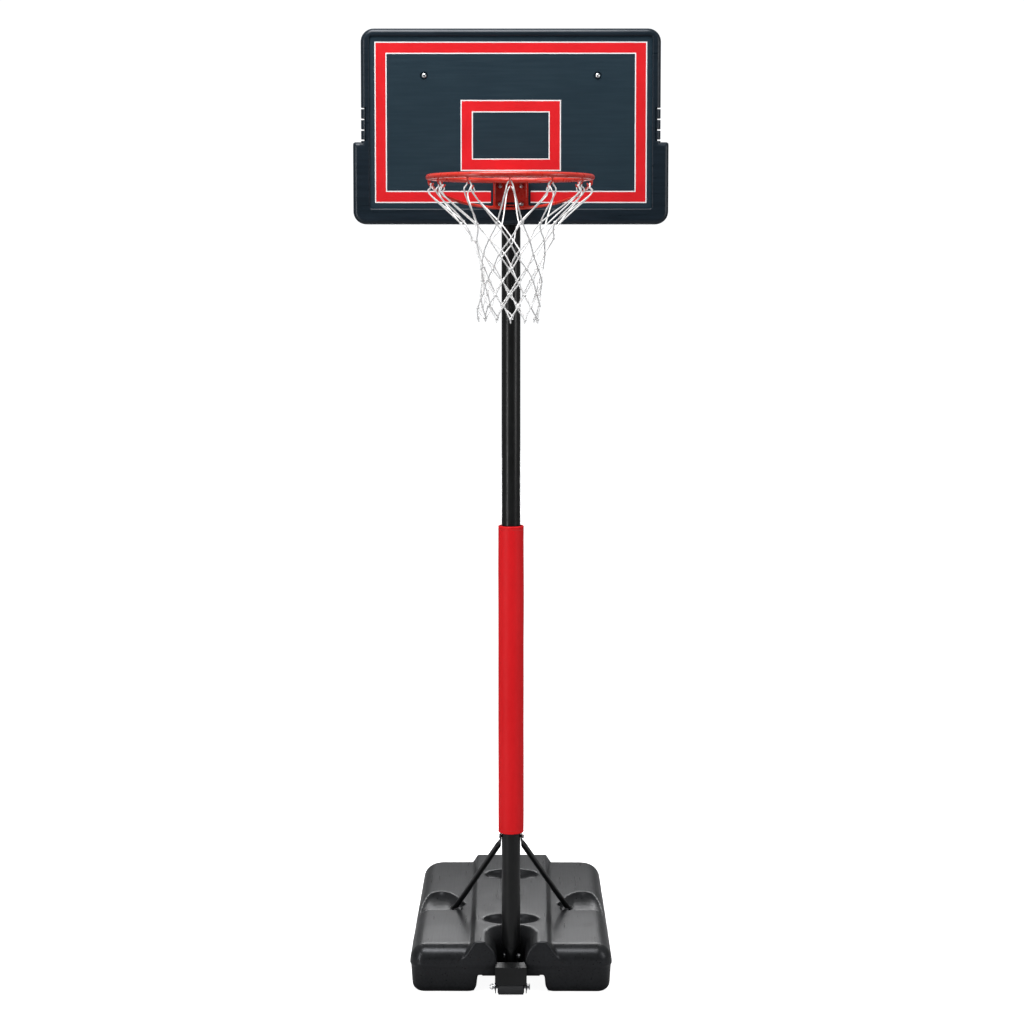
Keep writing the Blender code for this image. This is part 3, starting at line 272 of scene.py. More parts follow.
class Look(Nodes):
    """One procedural material: a Principled shader whose colour, roughness and bump come from noises."""

    def __init__(self, name, colour, roughness, metallic=0.0):
        self.material = bpy.data.materials.new(name)
        self.material.use_nodes = True
        super().__init__(self.material.node_tree)
        self.shader = self.tree.nodes["Principled BSDF"]
        self.set("Base Color", (*colour, 1.0))
        self.set("Roughness", roughness)
        self.set("Metallic", metallic)
        self.place = self.node("ShaderNodeTexCoord").outputs["Object"]
        self.normal = None

    def set(self, name, value):
        self.feed(self.shader.inputs[name], value)

    def grain(self, scale, stretch=(1, 1, 1), detail=4.0, rough=0.55):
        """A noise value; a stretch under 1 along an axis draws it out that way."""
        where = self.node("ShaderNodeMapping", Vector=self.place, Scale=stretch).outputs[0]
        noises = self.node("ShaderNodeTexNoise", Vector=where, Scale=scale, Detail=detail, Roughness=rough)
        return noises.outputs["Fac"]

    def blend(self, factor, first, second):
        made = self.tree.nodes.new("ShaderNodeMix")
        made.data_type = "RGBA"
        self.feed(made.inputs[0], factor)
        for socket, colour in ((made.inputs[6], first), (made.inputs[7], second)):
            self.feed(socket, colour if isinstance(colour, bpy.types.NodeSocket) else (*colour, 1.0))
        return made.outputs[2]

    def tint(self, value, first, second, start=0.3, end=0.7):
        """Let the colour change from first to second as value goes from start to end."""
        self.set("Base Color", self.blend(self.spread(value, start, end), first, second))

    def gloss(self, value, smooth, rough):
        self.set("Roughness", self.spread(value, 0.3, 0.7, smooth, rough))

    def bump(self, height, distance, strength=1.0):
        """Lay one more relief over those before; distance is its real height in metres."""
        made = self.node("ShaderNodeBump", Height=height, Distance=distance, Strength=strength)
        if self.normal:
            self.feed(made.inputs["Normal"], self.normal)
        self.normal = made.outputs[0]
        self.set("Normal", self.normal)


def moulded(name, dark, light, roughness, streaks):
    """Blow-moulded plastic: long faint draw streaks, mottling and a fine orange peel; reflections are dimmed in
    hollows by ambient occlusion, a painted shade.
    """
    look = Look(name, dark, roughness)
    drawn = look.grain(150, streaks, 3.0)
    mottle = look.grain(9, detail=3.0)
    mixed = look.add(look.spread(drawn, 0.38, 0.66, 0.0, 0.55), look.spread(mottle, 0.35, 0.65, 0.0, 0.25))
    look.set("Base Color", look.blend(mixed, dark, light))
    look.gloss(drawn, roughness - 0.03, roughness + 0.06)
    # Painted shade: ambient occlusion turns the specular level down in dimples, creases and tunnels
    hollow = look.node("ShaderNodeAmbientOcclusion", Distance=0.09)
    look.set("Specular IOR Level", look.spread(hollow.outputs["AO"], 0.45, 1.0, 0.06, 0.40))
    look.set("Specular Tint", (0.93, 0.95, 1.0, 1.0))
    look.bump(look.grain(55, streaks, 2.0), 0.0005, 0.22)
    look.bump(look.grain(900, detail=2.0), 0.00012, 0.35)
    return look


def painted(name, colour, shade, roughness, coat):
    """Powder-coated steel: fine orange peel, slight changes of tone, a thin clear gloss."""
    look = Look(name, colour, roughness)
    look.tint(look.grain(14, detail=5.0), colour, shade, 0.35)
    look.gloss(look.grain(60, detail=5.0), roughness - 0.05, roughness + 0.08)
    look.set("Specular IOR Level", 0.35)
    look.set("Coat Weight", coat)
    look.set("Coat Roughness", 0.22)
    look.bump(look.grain(420, detail=2.0), 0.00005, 0.3)
    return look


def zinc_plate():
    look = Look("zinc_plate", (0.62, 0.63, 0.64), 0.26, 1.0)
    spangle = look.grain(700, detail=4.0)
    look.tint(spangle, (0.50, 0.51, 0.53), (0.72, 0.73, 0.73))
    look.gloss(look.grain(260, detail=5.0), 0.18, 0.42)
    look.bump(spangle, 0.00004, 0.4)
    return look


def vinyl_cover():
    """The pad's coated cloth: a fine plain weave under a soft satin face, a little faded in patches."""
    look = Look("pad_cover", (0.86, 0.012, 0.018), 0.52)
    look.tint(look.grain(7, (1, 1, 0.4), 4.0), (0.88, 0.006, 0.011), (0.97, 0.012, 0.018), 0.35)
    look.gloss(look.grain(30, detail=5.0), 0.44, 0.60)
    look.set("Specular IOR Level", 0.28)
    waves = []
    for axis in ("X", "Z"):
        wave = look.node("ShaderNodeTexWave", Vector=look.place, Scale=260.0, Distortion=0.6, Detail=1.0)
        wave.bands_direction = axis
        waves.append(wave.outputs["Fac"])
    look.bump(look.add(*waves, "MULTIPLY"), 0.00010, 0.35)
    look.bump(look.grain(25, (1, 1, 0.5), 3.0), 0.0006, 0.4)
    return look


def spun(name, shade, colour):
    """Cord or thread: matt, with fine fibres."""
    look = Look(name, colour, 0.82)
    fibre = look.grain(900, detail=3.0)
    look.tint(fibre, shade, colour)
    look.gloss(fibre, 0.75, 0.92)
    look.set("Sheen Weight", 0.5)
    look.bump(fibre, 0.0002, 0.3)
    return look


def rubber_look():
    look = Look("roller_rubber", (0.030, 0.031, 0.033), 0.62)
    scuff = look.grain(45, (0.2, 1, 1), 6.0, 0.7)
    look.tint(scuff, (0.028, 0.029, 0.031), (0.075, 0.077, 0.08), 0.45, 0.75)
    look.gloss(scuff, 0.52, 0.78)
    look.bump(look.grain(500, detail=4.0), 0.00015, 0.5)
    return look


def water_look():
    look = Look("ballast_water", (0.55, 0.70, 0.74), 0.04)
    look.set("Transmission Weight", 0.9)
    look.set("IOR", 1.33)
    look.bump(look.grain(12, detail=2.0), 0.001, 0.2)
    return look


def ink(name, colour, shade):
    """Screen-printed ink: an even film that pools a little and shows the panel's peel."""
    look = Look(name, colour, 0.34)
    look.tint(look.grain(11), colour, shade, 0.35)
    look.gloss(look.grain(80), 0.28, 0.42)
    look.bump(look.grain(600, detail=2.0), 0.00006, 0.3)
    return look


ALONG_X = (0.05, 1, 1)
ALONG_Y = (1, 0.03, 1)
EVEN = (1, 1, 1)
LOOKS = {
    "tank_plastic": moulded("tank_plastic", (0.009, 0.0095, 0.010), (0.019, 0.020, 0.022), 0.30, ALONG_Y),
    "board_plastic": moulded("board_plastic", (0.006, 0.012, 0.018), (0.0095, 0.0185, 0.029), 0.30, ALONG_X),
    "panel_plastic": moulded(
        "panel_plastic", (0.0135, 0.0285, 0.041), (0.0175, 0.0365, 0.051), 0.34, ALONG_X),
    "black_trim": moulded("black_trim", (0.008, 0.009, 0.010), (0.018, 0.019, 0.021), 0.42, EVEN),
    "black_steel": painted("black_steel", (0.0045, 0.005, 0.005), (0.008, 0.0085, 0.009), 0.33, 0.15),
    "rim_paint": painted("rim_paint", (0.68, 0.036, 0.018), (0.56, 0.022, 0.013), 0.28, 0.5),
    "zinc": zinc_plate(),
    "pad_vinyl": vinyl_cover(),
    "net_cord": spun("net_cord", (0.92, 0.92, 0.92), (1.0, 1.0, 0.99)),
    "roller_rubber": rubber_look(),
    "water": water_look(),
    "print_red": ink("print_red", (0.77, 0.012, 0.019), (0.69, 0.010, 0.015)),
    "print_white": ink("print_white", (0.93, 0.93, 0.93), (0.86, 0.86, 0.87)),
    "thread": spun("thread", (0.52, 0.008, 0.010), (0.66, 0.014, 0.018)),
}


# ---------------------------------------------------------------- shapes


class Shape:
    """Closed skins collected into one mesh."""

    def __init__(self):
        self.points = []
        self.faces = []

    def loft(self, rings, closed=False):
        """Skin equal rings of points; the ends are capped unless the row closes on itself."""
        start, count = len(self.points), len(rings[0])
        for ring in rings:
            self.points.extend(ring)
        rows = [start + index * count for index in range(len(rings))]
        pairs = list(zip(rows, rows[1:])) + ([(rows[-1], rows[0])] if closed else [])
        for first, second in pairs:
            for i in range(count):
                j = (i + 1) % count
                self.faces.append((first + i, first + j, second + j, second + i))
        if not closed:
            self.faces.append(tuple(range(rows[0], rows[0] + count)))
            self.faces.append(tuple(range(rows[-1], rows[-1] + count)))
        return self

    def box(self, corner, opposite):
        (left, front, bottom), (right, back, top) = corner, opposite
        outline = ((left, front), (right, front), (right, back), (left, back))
        return self.loft([[Vector((x, y, z)) for x, y in outline] for z in (bottom, top)])

    def turned(self, outline, sides, start=(0, 0, 0), axis=(0, 0, 1), closed=False, radius_at=None):
        """Turn (radius, height) points round an axis; radius_at(radius, height, turn) may change them."""
        turn_to = Vector((0, 0, 1)).rotation_difference(Vector(axis))
        rings = []
        for radius, height in outline:
            ring = []
            for turn in circle(sides):
                reach = radius_at(radius, height, turn) if radius_at else radius
                point = Vector((reach * math.cos(turn), reach * math.sin(turn), height))
                ring.append(Vector(start) + turn_to @ point)
            rings.append(ring)
        return self.loft(rings, closed)

    def swept(self, path, sides, radius_at, closed=False, side_axis=(0.31, 0.17, 0.93)):
        """Sweep a section along path; radius_at(distance, turn) gives its radius.

        The section's first point lies towards side_axis, which the path must not start along.
        """
        normal = Vector(side_axis)
        count = len(path)
        distance = 0.0
        rings = []
        for i, point in enumerate(path):
            before = path[(i - 1) % count] if closed else path[max(i - 1, 0)]
            after = path[(i + 1) % count] if closed else path[min(i + 1, count - 1)]
            tangent = (after - before).normalized()
            normal = (normal - tangent * normal.dot(tangent)).normalized()
            across = tangent.cross(normal)
            if i:
                distance += (point - path[i - 1]).length
            ring = []
            for turn in circle(sides):
                radius = radius_at(distance, turn)
                ring.append(point + (normal * math.cos(turn) + across * math.sin(turn)) * radius)
            rings.append(ring)
        return self.loft(rings, closed)


def girth(radius, ripple=0.0, pace=0.0):
    """A radius for Shape.swept: even, or rippled like a weld bead."""
    return lambda distance, turn: radius + ripple * math.sin(distance * pace)


def raw_object(name, shape):
    mesh = bpy.data.meshes.new(name)
    mesh.from_pydata(shape.points, [], shape.faces)
    bm = bmesh.new()
    bm.from_mesh(mesh)
    bmesh.ops.recalc_face_normals(bm, faces=bm.faces)
    bm.to_mesh(mesh)
    bm.free()
    made = bpy.data.objects.new(name, mesh)
    bpy.context.scene.collection.objects.link(made)
    return made


def dress(item, look, body, nodes=(), angle=38.0):
    """Give a piece its material, shading and body, and let it stand for CAD nodes."""
    item.data.materials.clear()
    item.data.materials.append(LOOKS[look].material)
    item.data.shade_smooth()
    item.data.set_sharp_from_angle(angle=math.radians(angle))
    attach(item, body)
    if nodes:
        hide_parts(*nodes)
    return item


def piece(name, shape, look, body, nodes=(), angle=38.0, holes=()):
    item = raw_object(name, shape)
    for start, axis, radius, depth in holes:
        combine(item, Shape().turned(((radius, 0.0), (radius, depth)), 24, start, axis))
    return dress(item, look, body, nodes, angle)


def applied(item, kind, **settings):
    """Add one modifier and bake it into the mesh."""
    modifier = item.modifiers.new(kind.lower(), kind)
    for name, value in settings.items():
        setattr(modifier, name, value)
    depsgraph = bpy.context.evaluated_depsgraph_get()
    mesh = bpy.data.meshes.new_from_object(item.evaluated_get(depsgraph))
    item.modifiers.clear()
    item.data = mesh
    return item


def combine(target, shape, operation="DIFFERENCE"):
    cutter = raw_object("cutter", shape)
    applied(target, "BOOLEAN", operation=operation, solver="EXACT", object=cutter)
    bpy.data.objects.remove(cutter, do_unlink=True)
    return target


def eased(outline, radius, steps=3, closed=False):
    """Round the corners of a flat outline by up to radius."""
    points = [Vector(point) for point in outline]
    count = len(points)
    made = []
    for i, point in enumerate(points):
        if not closed and i in (0, count - 1):
            made.append(point)
            continue
        before = points[i - 1] - point
        after = points[(i + 1) % count] - point
        first = point + before * min(radius / before.length, 0.48)
        last = point + after * min(radius / after.length, 0.48)
        for step in range(steps + 1):
            share = step / steps
            made.append(first.lerp(point, share).lerp(point.lerp(last, share), share))
    return made


def curve_through(points, steps):
    """A smooth curve through points, in steps for each span."""
    points = [Vector(point) for point in points]
    made = []
    for i in range(len(points) - 1):
        a, b = points[max(i - 1, 0)], points[i]
        c, d = points[i + 1], points[min(i + 2, len(points) - 1)]
        for step in range(steps):
            t = step / steps
            square = (2 * a - 5 * b + 4 * c - d) * t * t
            cube = (3 * b - a - 3 * c + d) * t ** 3
            made.append(0.5 * (2 * b + (c - a) * t + square + cube))
    return made + [points[-1]]


def refined(node, look, width, name=None, cuts=()):
    """A copy of a CAD node with its flat faces merged and its edges rounded."""
    source = frame["nodes"][node]
    bm = bmesh.new()
    bm.from_mesh(source.data)
    bmesh.ops.remove_doubles(bm, verts=bm.verts, dist=1e-5)
    bmesh.ops.dissolve_limit(bm, angle_limit=math.radians(1.0), verts=bm.verts, edges=bm.edges)
    mesh = bpy.data.meshes.new(name or node + "_fine")
    bm.to_mesh(mesh)
    bm.free()
    made = bpy.data.objects.new(name or node + "_fine", mesh)
    bpy.context.scene.collection.objects.link(made)
    for shape in cuts:
        combine(made, shape)
    applied(made, "BEVEL", width=width, segments=2, limit_method="ANGLE", angle_limit=math.radians(32))
    dress(made, look, source["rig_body"], (node,))
    return applied(made, "WEIGHTED_NORMAL", keep_sharp=True, weight=100)


# ---------------------------------------------------------------- base tank


def tank_levels():
    """Height and inset of the tank's side: bottom roll, stepped parting line, top roll."""
    levels = []
    for turn in arc(0, 90, 10):
        inset = DRAFT + PARTING_STEP + BOTTOM_ROLL * (1 - math.sin(turn))
        levels.append((BOTTOM_ROLL * (1 - math.cos(turn)), inset))
    levels.append((PARTING_Z - 0.003, PARTING_STEP))
    levels.append((PARTING_Z + 0.001, 0.0))
    for turn in arc(0, 90, 10):
        levels.append((SIDE_TOP - TOP_ROLL * (1 - math.sin(turn)),
                       DRAFT / 2 + TOP_ROLL * (1 - math.cos(turn))))
    return levels


def tank_ring(height, inset):
    points = []
    corners = (
        (1, BASE_FRONT, 1, BASE_HALF_FRONT, FRONT_CORNER, -90),
        (1, BASE_BACK, -1, BASE_HALF_BACK, BACK_CORNER, 0),
        (-1, BASE_BACK, -1, BASE_HALF_BACK, BACK_CORNER, 90),
        (-1, BASE_FRONT, 1, BASE_HALF_FRONT, FRONT_CORNER, 180),
    )
    for side, edge, inward, half, corner, start in corners:
        radius = max(corner - inset, 0.004)
        middle_x = side * (half - inset - radius)
        middle_y = edge + inward * (inset + radius)
        for turn in arc(start, 90, 14):
            points.append(place(middle_x + radius * math.cos(turn),
                                middle_y + radius * math.sin(turn), height))
    return points


def ridge_rings():
    rings = []
    for y, half in ((BASE_FRONT, RIDGE_HALF_FRONT), (RIDGE_BACK, RIDGE_HALF_BACK)):
        foot = half + (RIDGE_TOP - RIDGE_FOOT) * RIDGE_RUN
        outline = ((-foot, RIDGE_FOOT), (foot, RIDGE_FOOT), (half, RIDGE_TOP), (-half, RIDGE_TOP))
        rings.append([place(x, y, z) for x, z in outline])
    return rings


def pole_slot_rings():
    """The slot that the pole stands in: a U in plan that flares out towards the ridge's top."""
    rings = []
    for step in range(-1, 15):
        flare = step / 13
        height = SLOT_FLARE_Z + (RIDGE_TOP - SLOT_FLARE_Z) * flare
        half = SLOT_HALF_LOW + (SLOT_HALF_HIGH - SLOT_HALF_LOW) * max(flare, 0.0) ** 3
        if step == -1:
            height = -0.020
        ring = [place(half, BASE_FRONT - 0.1, height)]
        for turn_step in range(25):
            turn = math.pi * turn_step / 24
            ring.append(place(half * math.cos(turn), half * math.sin(turn), height))
        ring.append(place(-half, BASE_FRONT - 0.1, height))
        rings.append(ring)
    return rings


def ellipsoid_rings(middle, radii):
    rings = []
    levels = 20
    for level in range(1, levels):
        tilt = math.pi * level / levels - math.pi / 2
        ring = []
        for turn in circle(56):
            unit = (math.cos(tilt) * math.cos(turn), math.cos(tilt) * math.sin(turn), math.sin(tilt))
            ring.append(place(*[c + u * r for c, u, r in zip(middle, unit, radii)]))
        rings.append(ring)
    return rings


def scoop_shape(side):
    """A side pocket: a rounded hollow that ends at an upright front wall."""
    middle = (side * SCOOP_CENTRE[0], SCOOP_CENTRE[1], SCOOP_CENTRE[2])
    hollow = raw_object("scoop", Shape().loft(ellipsoid_rings(middle, SCOOP_RADII)))
    front = Shape().box(place(-1, -1, -1), place(1, SCOOP_CENTRE[1], 1))
    combine(hollow, front)
    shape = Shape()
    shape.points = [vertex.co.copy() for vertex in hollow.data.vertices]
    shape.faces = [tuple(face.vertices) for face in hollow.data.polygons]
    bpy.data.objects.remove(hollow, do_unlink=True)
    return shape


def base_tank():
    """The tank's skin: exact cuts first, then one even remesh, softened like a blow moulding."""
    tank = raw_object("tank_shell", Shape().loft([tank_ring(z, inset) for z, inset in tank_levels()]))
    combine(tank, Shape().loft(ridge_rings()), "UNION")
    combine(tank, Shape().loft(pole_slot_rings()))
    half = TUNNEL_HALF
    arch = [(-half - 0.040, -0.002), (-half - 0.012, 0.006), (-half - 0.004, 0.024), (-half, TUNNEL_TOP)]
    outline = arch + [(-x, z) for x, z in reversed(arch)]
    outline = [(-half - 0.040, -0.02)] + outline + [(half + 0.040, -0.02)]
    rings = [[place(x, y, z) for x, z in outline] for y in (BASE_FRONT - 0.1, TUNNEL_BACK)]
    combine(tank, Shape().loft(rings))
    for y, half_long, half_wide in DIMPLES:
        combine(tank, Shape().loft(ellipsoid_rings((0, y, RIDGE_TOP), (half_long, half_wide, DIMPLE_DEPTH))))
    for side in (-1, 1):
        combine(tank, scoop_shape(side))
        seat = ((SEAT_RADIUS, 0.0), (SEAT_RADIUS + 0.004, 0.1))
        combine(tank, Shape().turned(seat, 40, place(side * SEAT_CENTRE[0], SEAT_CENTRE[1], SEAT_Z)))
    neck = ((NECK_RADIUS, 0.0), (NECK_RADIUS, 0.1))
    neck_y = centre("fill_cap").y - POLE_Y
    combine(tank, Shape().turned(neck, 40, place(0, neck_y, RIDGE_TOP - 0.026)))
    applied(tank, "REMESH", mode="VOXEL", voxel_size=TANK_VOXEL)
    applied(tank, "SMOOTH", factor=0.5, iterations=5)
    normals = [vertex.normal.copy() for vertex in tank.data.vertices]
    for vertex, normal in zip(tank.data.vertices, normals):
        spot = vertex.co.copy()
        wave = noise.noise(spot * 9.0) * 0.0005 + noise.noise(spot * 26.0) * 0.0002
        moved = spot + normal * wave
        vertex.co = (moved.x, moved.y, max(moved.z, 0.0))
    dress(tank, "tank_plastic", "base", ("base_tank",), 180.0)


# ---------------------------------------------------------------- poles and pad


def oval_ring(half_x, half_y, height):
    return [place(half_x * math.cos(turn), half_y * math.sin(turn), height) for turn in circle(72)]


def cross_holes(*heights):
    """Bolt holes right across a pole."""
    return [(place(-0.05, 0, z), ALONG["x"], BOLT_RADIUS + GAP, 0.1) for z in heights]


def lower_pole():
    """The lower tube, its foot pressed flat to fit the shoe."""
    bottom, top = low("lower_pole").z, high("lower_pole").z
    levels = [(bottom, FOOT_HALF_X - 0.0005, FOOT_HALF_Y - 0.0005),
              (bottom + 0.001, FOOT_HALF_X, FOOT_HALF_Y)]
    levels.append((FOOT_FLAT_TOP, FOOT_HALF_X, FOOT_HALF_Y))
    for step in range(1, 13):
        share = 0.5 - 0.5 * math.cos(math.pi * step / 12)
        half_x = FOOT_HALF_X + (POLE_RADIUS - FOOT_HALF_X) * share
        half_y = FOOT_HALF_Y + (POLE_RADIUS - FOOT_HALF_Y) * share
        levels.append((FOOT_FLAT_TOP + (FOOT_ROUND_Z - FOOT_FLAT_TOP) * step / 12, half_x, half_y))
    levels.append((top, POLE_RADIUS, POLE_RADIUS))
    outer = [oval_ring(half_x, half_y, z) for z, half_x, half_y in levels]
    inner = [oval_ring(half_x - POLE_WALL, half_y - POLE_WALL, z) for z, half_x, half_y in reversed(levels)]
    shape = Shape().loft(outer + inner, closed=True)
    holes = cross_holes(centre("pole_foot_bolt").z, STRUT_BOLT_Z, centre("pole_rivet").z)
    piece("lower_tube", shape, "black_steel", "base", ("lower_pole",), holes=holes)


def tube_piece(name, outline, look, body, node, ease=0.0005, start=None, axis="up", sides=72, holes=()):
    """A turned part with a bore: the outline closes on itself."""
    shape = Shape().turned(
        eased(outline, ease, closed=True), sides, start or place(0, 0, 0), ALONG[axis], closed=True)
    return piece(name, shape, look, body, (node,), holes=holes)


def rod_piece(name, outline, look, body, node, ease, start, axis, sides, radius_at=None, holes=()):
    """A solid turned part: the outline runs from its axis back to its axis."""
    shape = Shape().turned(eased(outline, ease), sides, start, ALONG[axis], radius_at=radius_at)
    return piece(name, shape, look, body, (node,), holes=holes)


def poles():
    lower_pole()
    bottom, top = low("middle_pole").z, high("middle_pole").z
    outline = [(MIDDLE_RADIUS, bottom), (MIDDLE_RADIUS, top), (MIDDLE_BORE, top)]
    outline += [(MIDDLE_BORE, SWAGE_TOP + 0.004), (SWAGE_BORE, SWAGE_TOP), (SWAGE_BORE, bottom)]
    holes = [(place(0, 0, CLAMP_Z), ALONG["y"], BOLT_RADIUS + GAP, 0.05)]
    tube_piece("middle_tube", outline, "black_steel", "base", "middle_pole", holes=holes)
    bottom, top = low("upper_pole").z, high("upper_pole").z
    inner = POLE_RADIUS - POLE_WALL
    outline = [(POLE_RADIUS, bottom), (POLE_RADIUS, top), (inner, top), (inner, bottom)]
    holes = cross_holes(centre("bracket_bolt_1").z, centre("bracket_bolt_2").z, BRACE_BOLT_Z)
    tube_piece("upper_tube", outline, "black_steel", "mast", "upper_pole", holes=holes)
    cap_top = high("pole_cap").z
    cap_base = high("upper_pole").z + GAP
    foot = low("pole_cap").z
    outline = [(AXIS, foot), (inner - 0.0015, foot), (inner - GAP, cap_base - 0.009)]
    outline += [(inner - GAP, cap_base), (POLE_RADIUS, cap_base), (POLE_RADIUS, cap_base + 0.003)]
    outline += [(POLE_RADIUS - 0.004, cap_top - 0.0008), (0.012, cap_top), (AXIS, cap_top)]
    rod_piece("pole_end_cap", outline, "black_trim", "mast", "pole_cap", 0.0015, place(0, 0, 0), "up", 72)
    bottom, top = low("slide_bushing").z, high("slide_bushing").z
    step_z = high("middle_pole").z + GAP
    bushing_bore = POLE_RADIUS + 0.00035
    outline = [(MIDDLE_BORE - GAP, bottom), (MIDDLE_BORE - GAP, step_z), (MIDDLE_RADIUS, step_z)]
    outline += [(MIDDLE_RADIUS, top), (bushing_bore, top), (bushing_bore, bottom)]
    tube_piece("pole_bushing", outline, "black_trim", "base", "slide_bushing", 0.0004)
    reach = high("pole_rivet").x
    outline = [(AXIS, -reach), (BOLT_RADIUS, -reach), (BOLT_RADIUS, reach), (AXIS, reach)]
    rod_piece("tube_rivet", outline, "zinc", "base", "pole_rivet", 0.0008, centre("pole_rivet"), "x", 32)


def pad_section(turn, height, radius):
    return place(radius * math.cos(turn), radius * math.sin(turn), height)


def pole_pad():
    """The foam sleeve in its cover: rolled hems, soft waves, an open seam behind, the clamp's hole."""
    around, up = 112, 190
    half_open = math.asin(PAD_SEAM / 2 / PAD_RADIUS)
    turns = [math.pi / 2 + half_open + (2 * math.pi - 2 * half_open) * i / around for i in range(around + 1)]
    between_hems = PAD_TOP - PAD_BOTTOM - 2 * PAD_HEM
    levels = [PAD_BOTTOM + PAD_HEM + between_hems * step / up for step in range(up + 1)]
    middle, half_wall = (PAD_RADIUS + PAD_BORE) / 2, (PAD_RADIUS - PAD_BORE) / 2

    def ring(height, wall, wavy):
        outer, inner = [], []
        for turn in turns:
            spot = Vector((math.cos(turn) * 1.6, math.sin(turn) * 1.6, height * 7))
            near_hem = min(abs(height - PAD_BOTTOM), abs(height - PAD_TOP))
            pinch = 0.0007 * math.exp(-((near_hem - 0.012) / 0.0022) ** 2)
            wave = (noise.noise(spot) * 0.0006 - pinch - 0.0003) * wavy
            edge = min(turn - turns[0], turns[-1] - turn) * PAD_RADIUS
            roll = half_wall * (1 - math.sqrt(max(0.0, 1 - (1 - min(edge / half_wall, 1.0)) ** 2))) * 0.8
            outer.append(pad_section(turn, height, middle + max(wall - roll, 0.0004) + wave))
            inner.append(pad_section(turn, height, middle - max(wall - roll, 0.0004)))
        return outer + inner[::-1]

    def hem(edge, inward):
        return [ring(edge + inward * PAD_HEM * (1 - math.cos(turn)),
                     half_wall * max(math.sin(turn), 0.12), 0.0)
                for turn in arc(0, 90, 5)]

    rings = hem(PAD_BOTTOM, 1) + [ring(height, half_wall, 1.0) for height in levels] + hem(PAD_TOP, -1)[::-1]
    pad = raw_object("pad_sleeve", Shape().loft(rings))
    hole = ((PAD_HOLE, 0.0), (PAD_HOLE, 0.06))
    combine(pad, Shape().turned(hole, 48, place(0, 0.02, CLAMP_Z), ALONG["y"]))
    dress(pad, "pad_vinyl", "base", ("pole_pad",), 50.0)
    pad_stitches(half_open)


def pad_stitches(half_open):
    """Rows of short stitches along both hems and both sides of the seam."""
    shape = Shape()
    pitch, length, proud = 0.0045, 0.0032, 0.00035
    radius = PAD_RADIUS + proud - 0.0009

    def stitch(first, second):
        middle = (first + second) / 2
        outward = (middle - place(0, 0, middle.z)).normalized()
        path = [first.lerp(second, k / 4) - outward * 0.0004 * (abs(k - 2) / 2) ** 2 for k in range(5)]
        shape.swept(path, 6, girth(0.00045))

    count = int(2 * math.pi * PAD_RADIUS * 0.93 / pitch)
    for height in (PAD_BOTTOM + STITCH_MARGIN, PAD_TOP - STITCH_MARGIN):
        for i in range(count):
            turn = math.pi / 2 + half_open + 0.08 + (2 * math.pi - 2 * half_open - 0.16) * i / count
            stitch(pad_section(turn, height, radius), pad_section(turn + length / PAD_RADIUS, height, radius))
    margin = half_open + 0.0075 / PAD_RADIUS
    rows = int((PAD_TOP - PAD_BOTTOM - 2 * STITCH_MARGIN) / pitch)
    for side in (-1, 1):
        turn = math.pi / 2 + side * margin
        for i in range(rows):
            height = PAD_BOTTOM + STITCH_MARGIN + pitch * i
            spot = pad_section(turn, height, radius)
            if (spot - place(0, PAD_RADIUS, CLAMP_Z)).length > 0.020:
                stitch(spot, pad_section(turn, height + length, radius))
    piece("pad_stitching", shape, "thread", "base")


# ---------------------------------------------------------------- fasteners


def hex_radius(apothem, turn):
    off_corner = (turn + math.pi / 6) % (math.pi / 3) - math.pi / 6
    return apothem / math.cos(off_corner)


def bolt(node, along, shoulder):
    """A button-head bolt with a hex socket; a real thread starts after its plain shoulder."""
    axis = Vector(ALONG[along])
    lowest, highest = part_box(node)
    reach = abs((highest - lowest).dot(axis))
    length = reach - HEAD_HEIGHT
    seat = (lowest + highest) / 2 - axis * (reach / 2 - HEAD_HEIGHT)
    turn_to = Vector((0, 0, 1)).rotation_difference(axis)
    rings = []

    def ring(height, radius_at):
        spots = [(radius_at(turn), turn) for turn in circle(24)]
        rings.append([seat + turn_to @ Vector((r * math.cos(turn), r * math.sin(turn), height))
                      for r, turn in spots])

    def plain(height, radius):
        ring(height, lambda turn: radius)

    ring(-HEAD_HEIGHT * 0.42, lambda turn: hex_radius(SOCKET_APOTHEM * 0.5, turn))
    ring(-HEAD_HEIGHT * 0.45, lambda turn: hex_radius(SOCKET_APOTHEM, turn))
    ring(-HEAD_HEIGHT * 0.93, lambda turn: hex_radius(SOCKET_APOTHEM, turn))
    ring(-HEAD_HEIGHT * 0.985, lambda turn: hex_radius(SOCKET_APOTHEM, turn) * 1.12)
    for step in range(7):
        tilt = math.radians(30 + 60 * step / 6)
        height = -HEAD_HEIGHT * 0.18 - HEAD_HEIGHT * 0.82 * math.cos(tilt) / math.cos(math.radians(30))
        plain(height, HEAD_RADIUS * (math.sin(tilt) - 0.12 * (1 - step / 6)))
    plain(-HEAD_HEIGHT * 0.05, HEAD_RADIUS)
    plain(0.0, HEAD_RADIUS - 0.0003)
    plain(0.0, BOLT_RADIUS + 0.0003)
    plain(0.0006, BOLT_RADIUS)
    plain(shoulder, BOLT_RADIUS)
    for step in range(int((length - shoulder - 0.0008) / THREAD_PITCH * 6)):
        height = shoulder + THREAD_PITCH / 6 * (step + 1)
        ring(height, lambda turn: BOLT_RADIUS - THREAD_DEPTH * thread_phase(height, turn))
    plain(length - 0.0006, BOLT_RADIUS - THREAD_DEPTH)
    plain(length, BOLT_RADIUS - 2 * THREAD_DEPTH)
    look = "black_steel" if node.startswith("strut_foot") else "zinc"
    piece(node + "_fine", Shape().loft(rings), look, frame["nodes"][node]["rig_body"], (node,), 30.0)


def thread_phase(height, turn):
    """0 on a thread's crest and 1 in its root."""
    return abs(2 * ((height / THREAD_PITCH + turn / (2 * math.pi)) % 1.0) - 1)


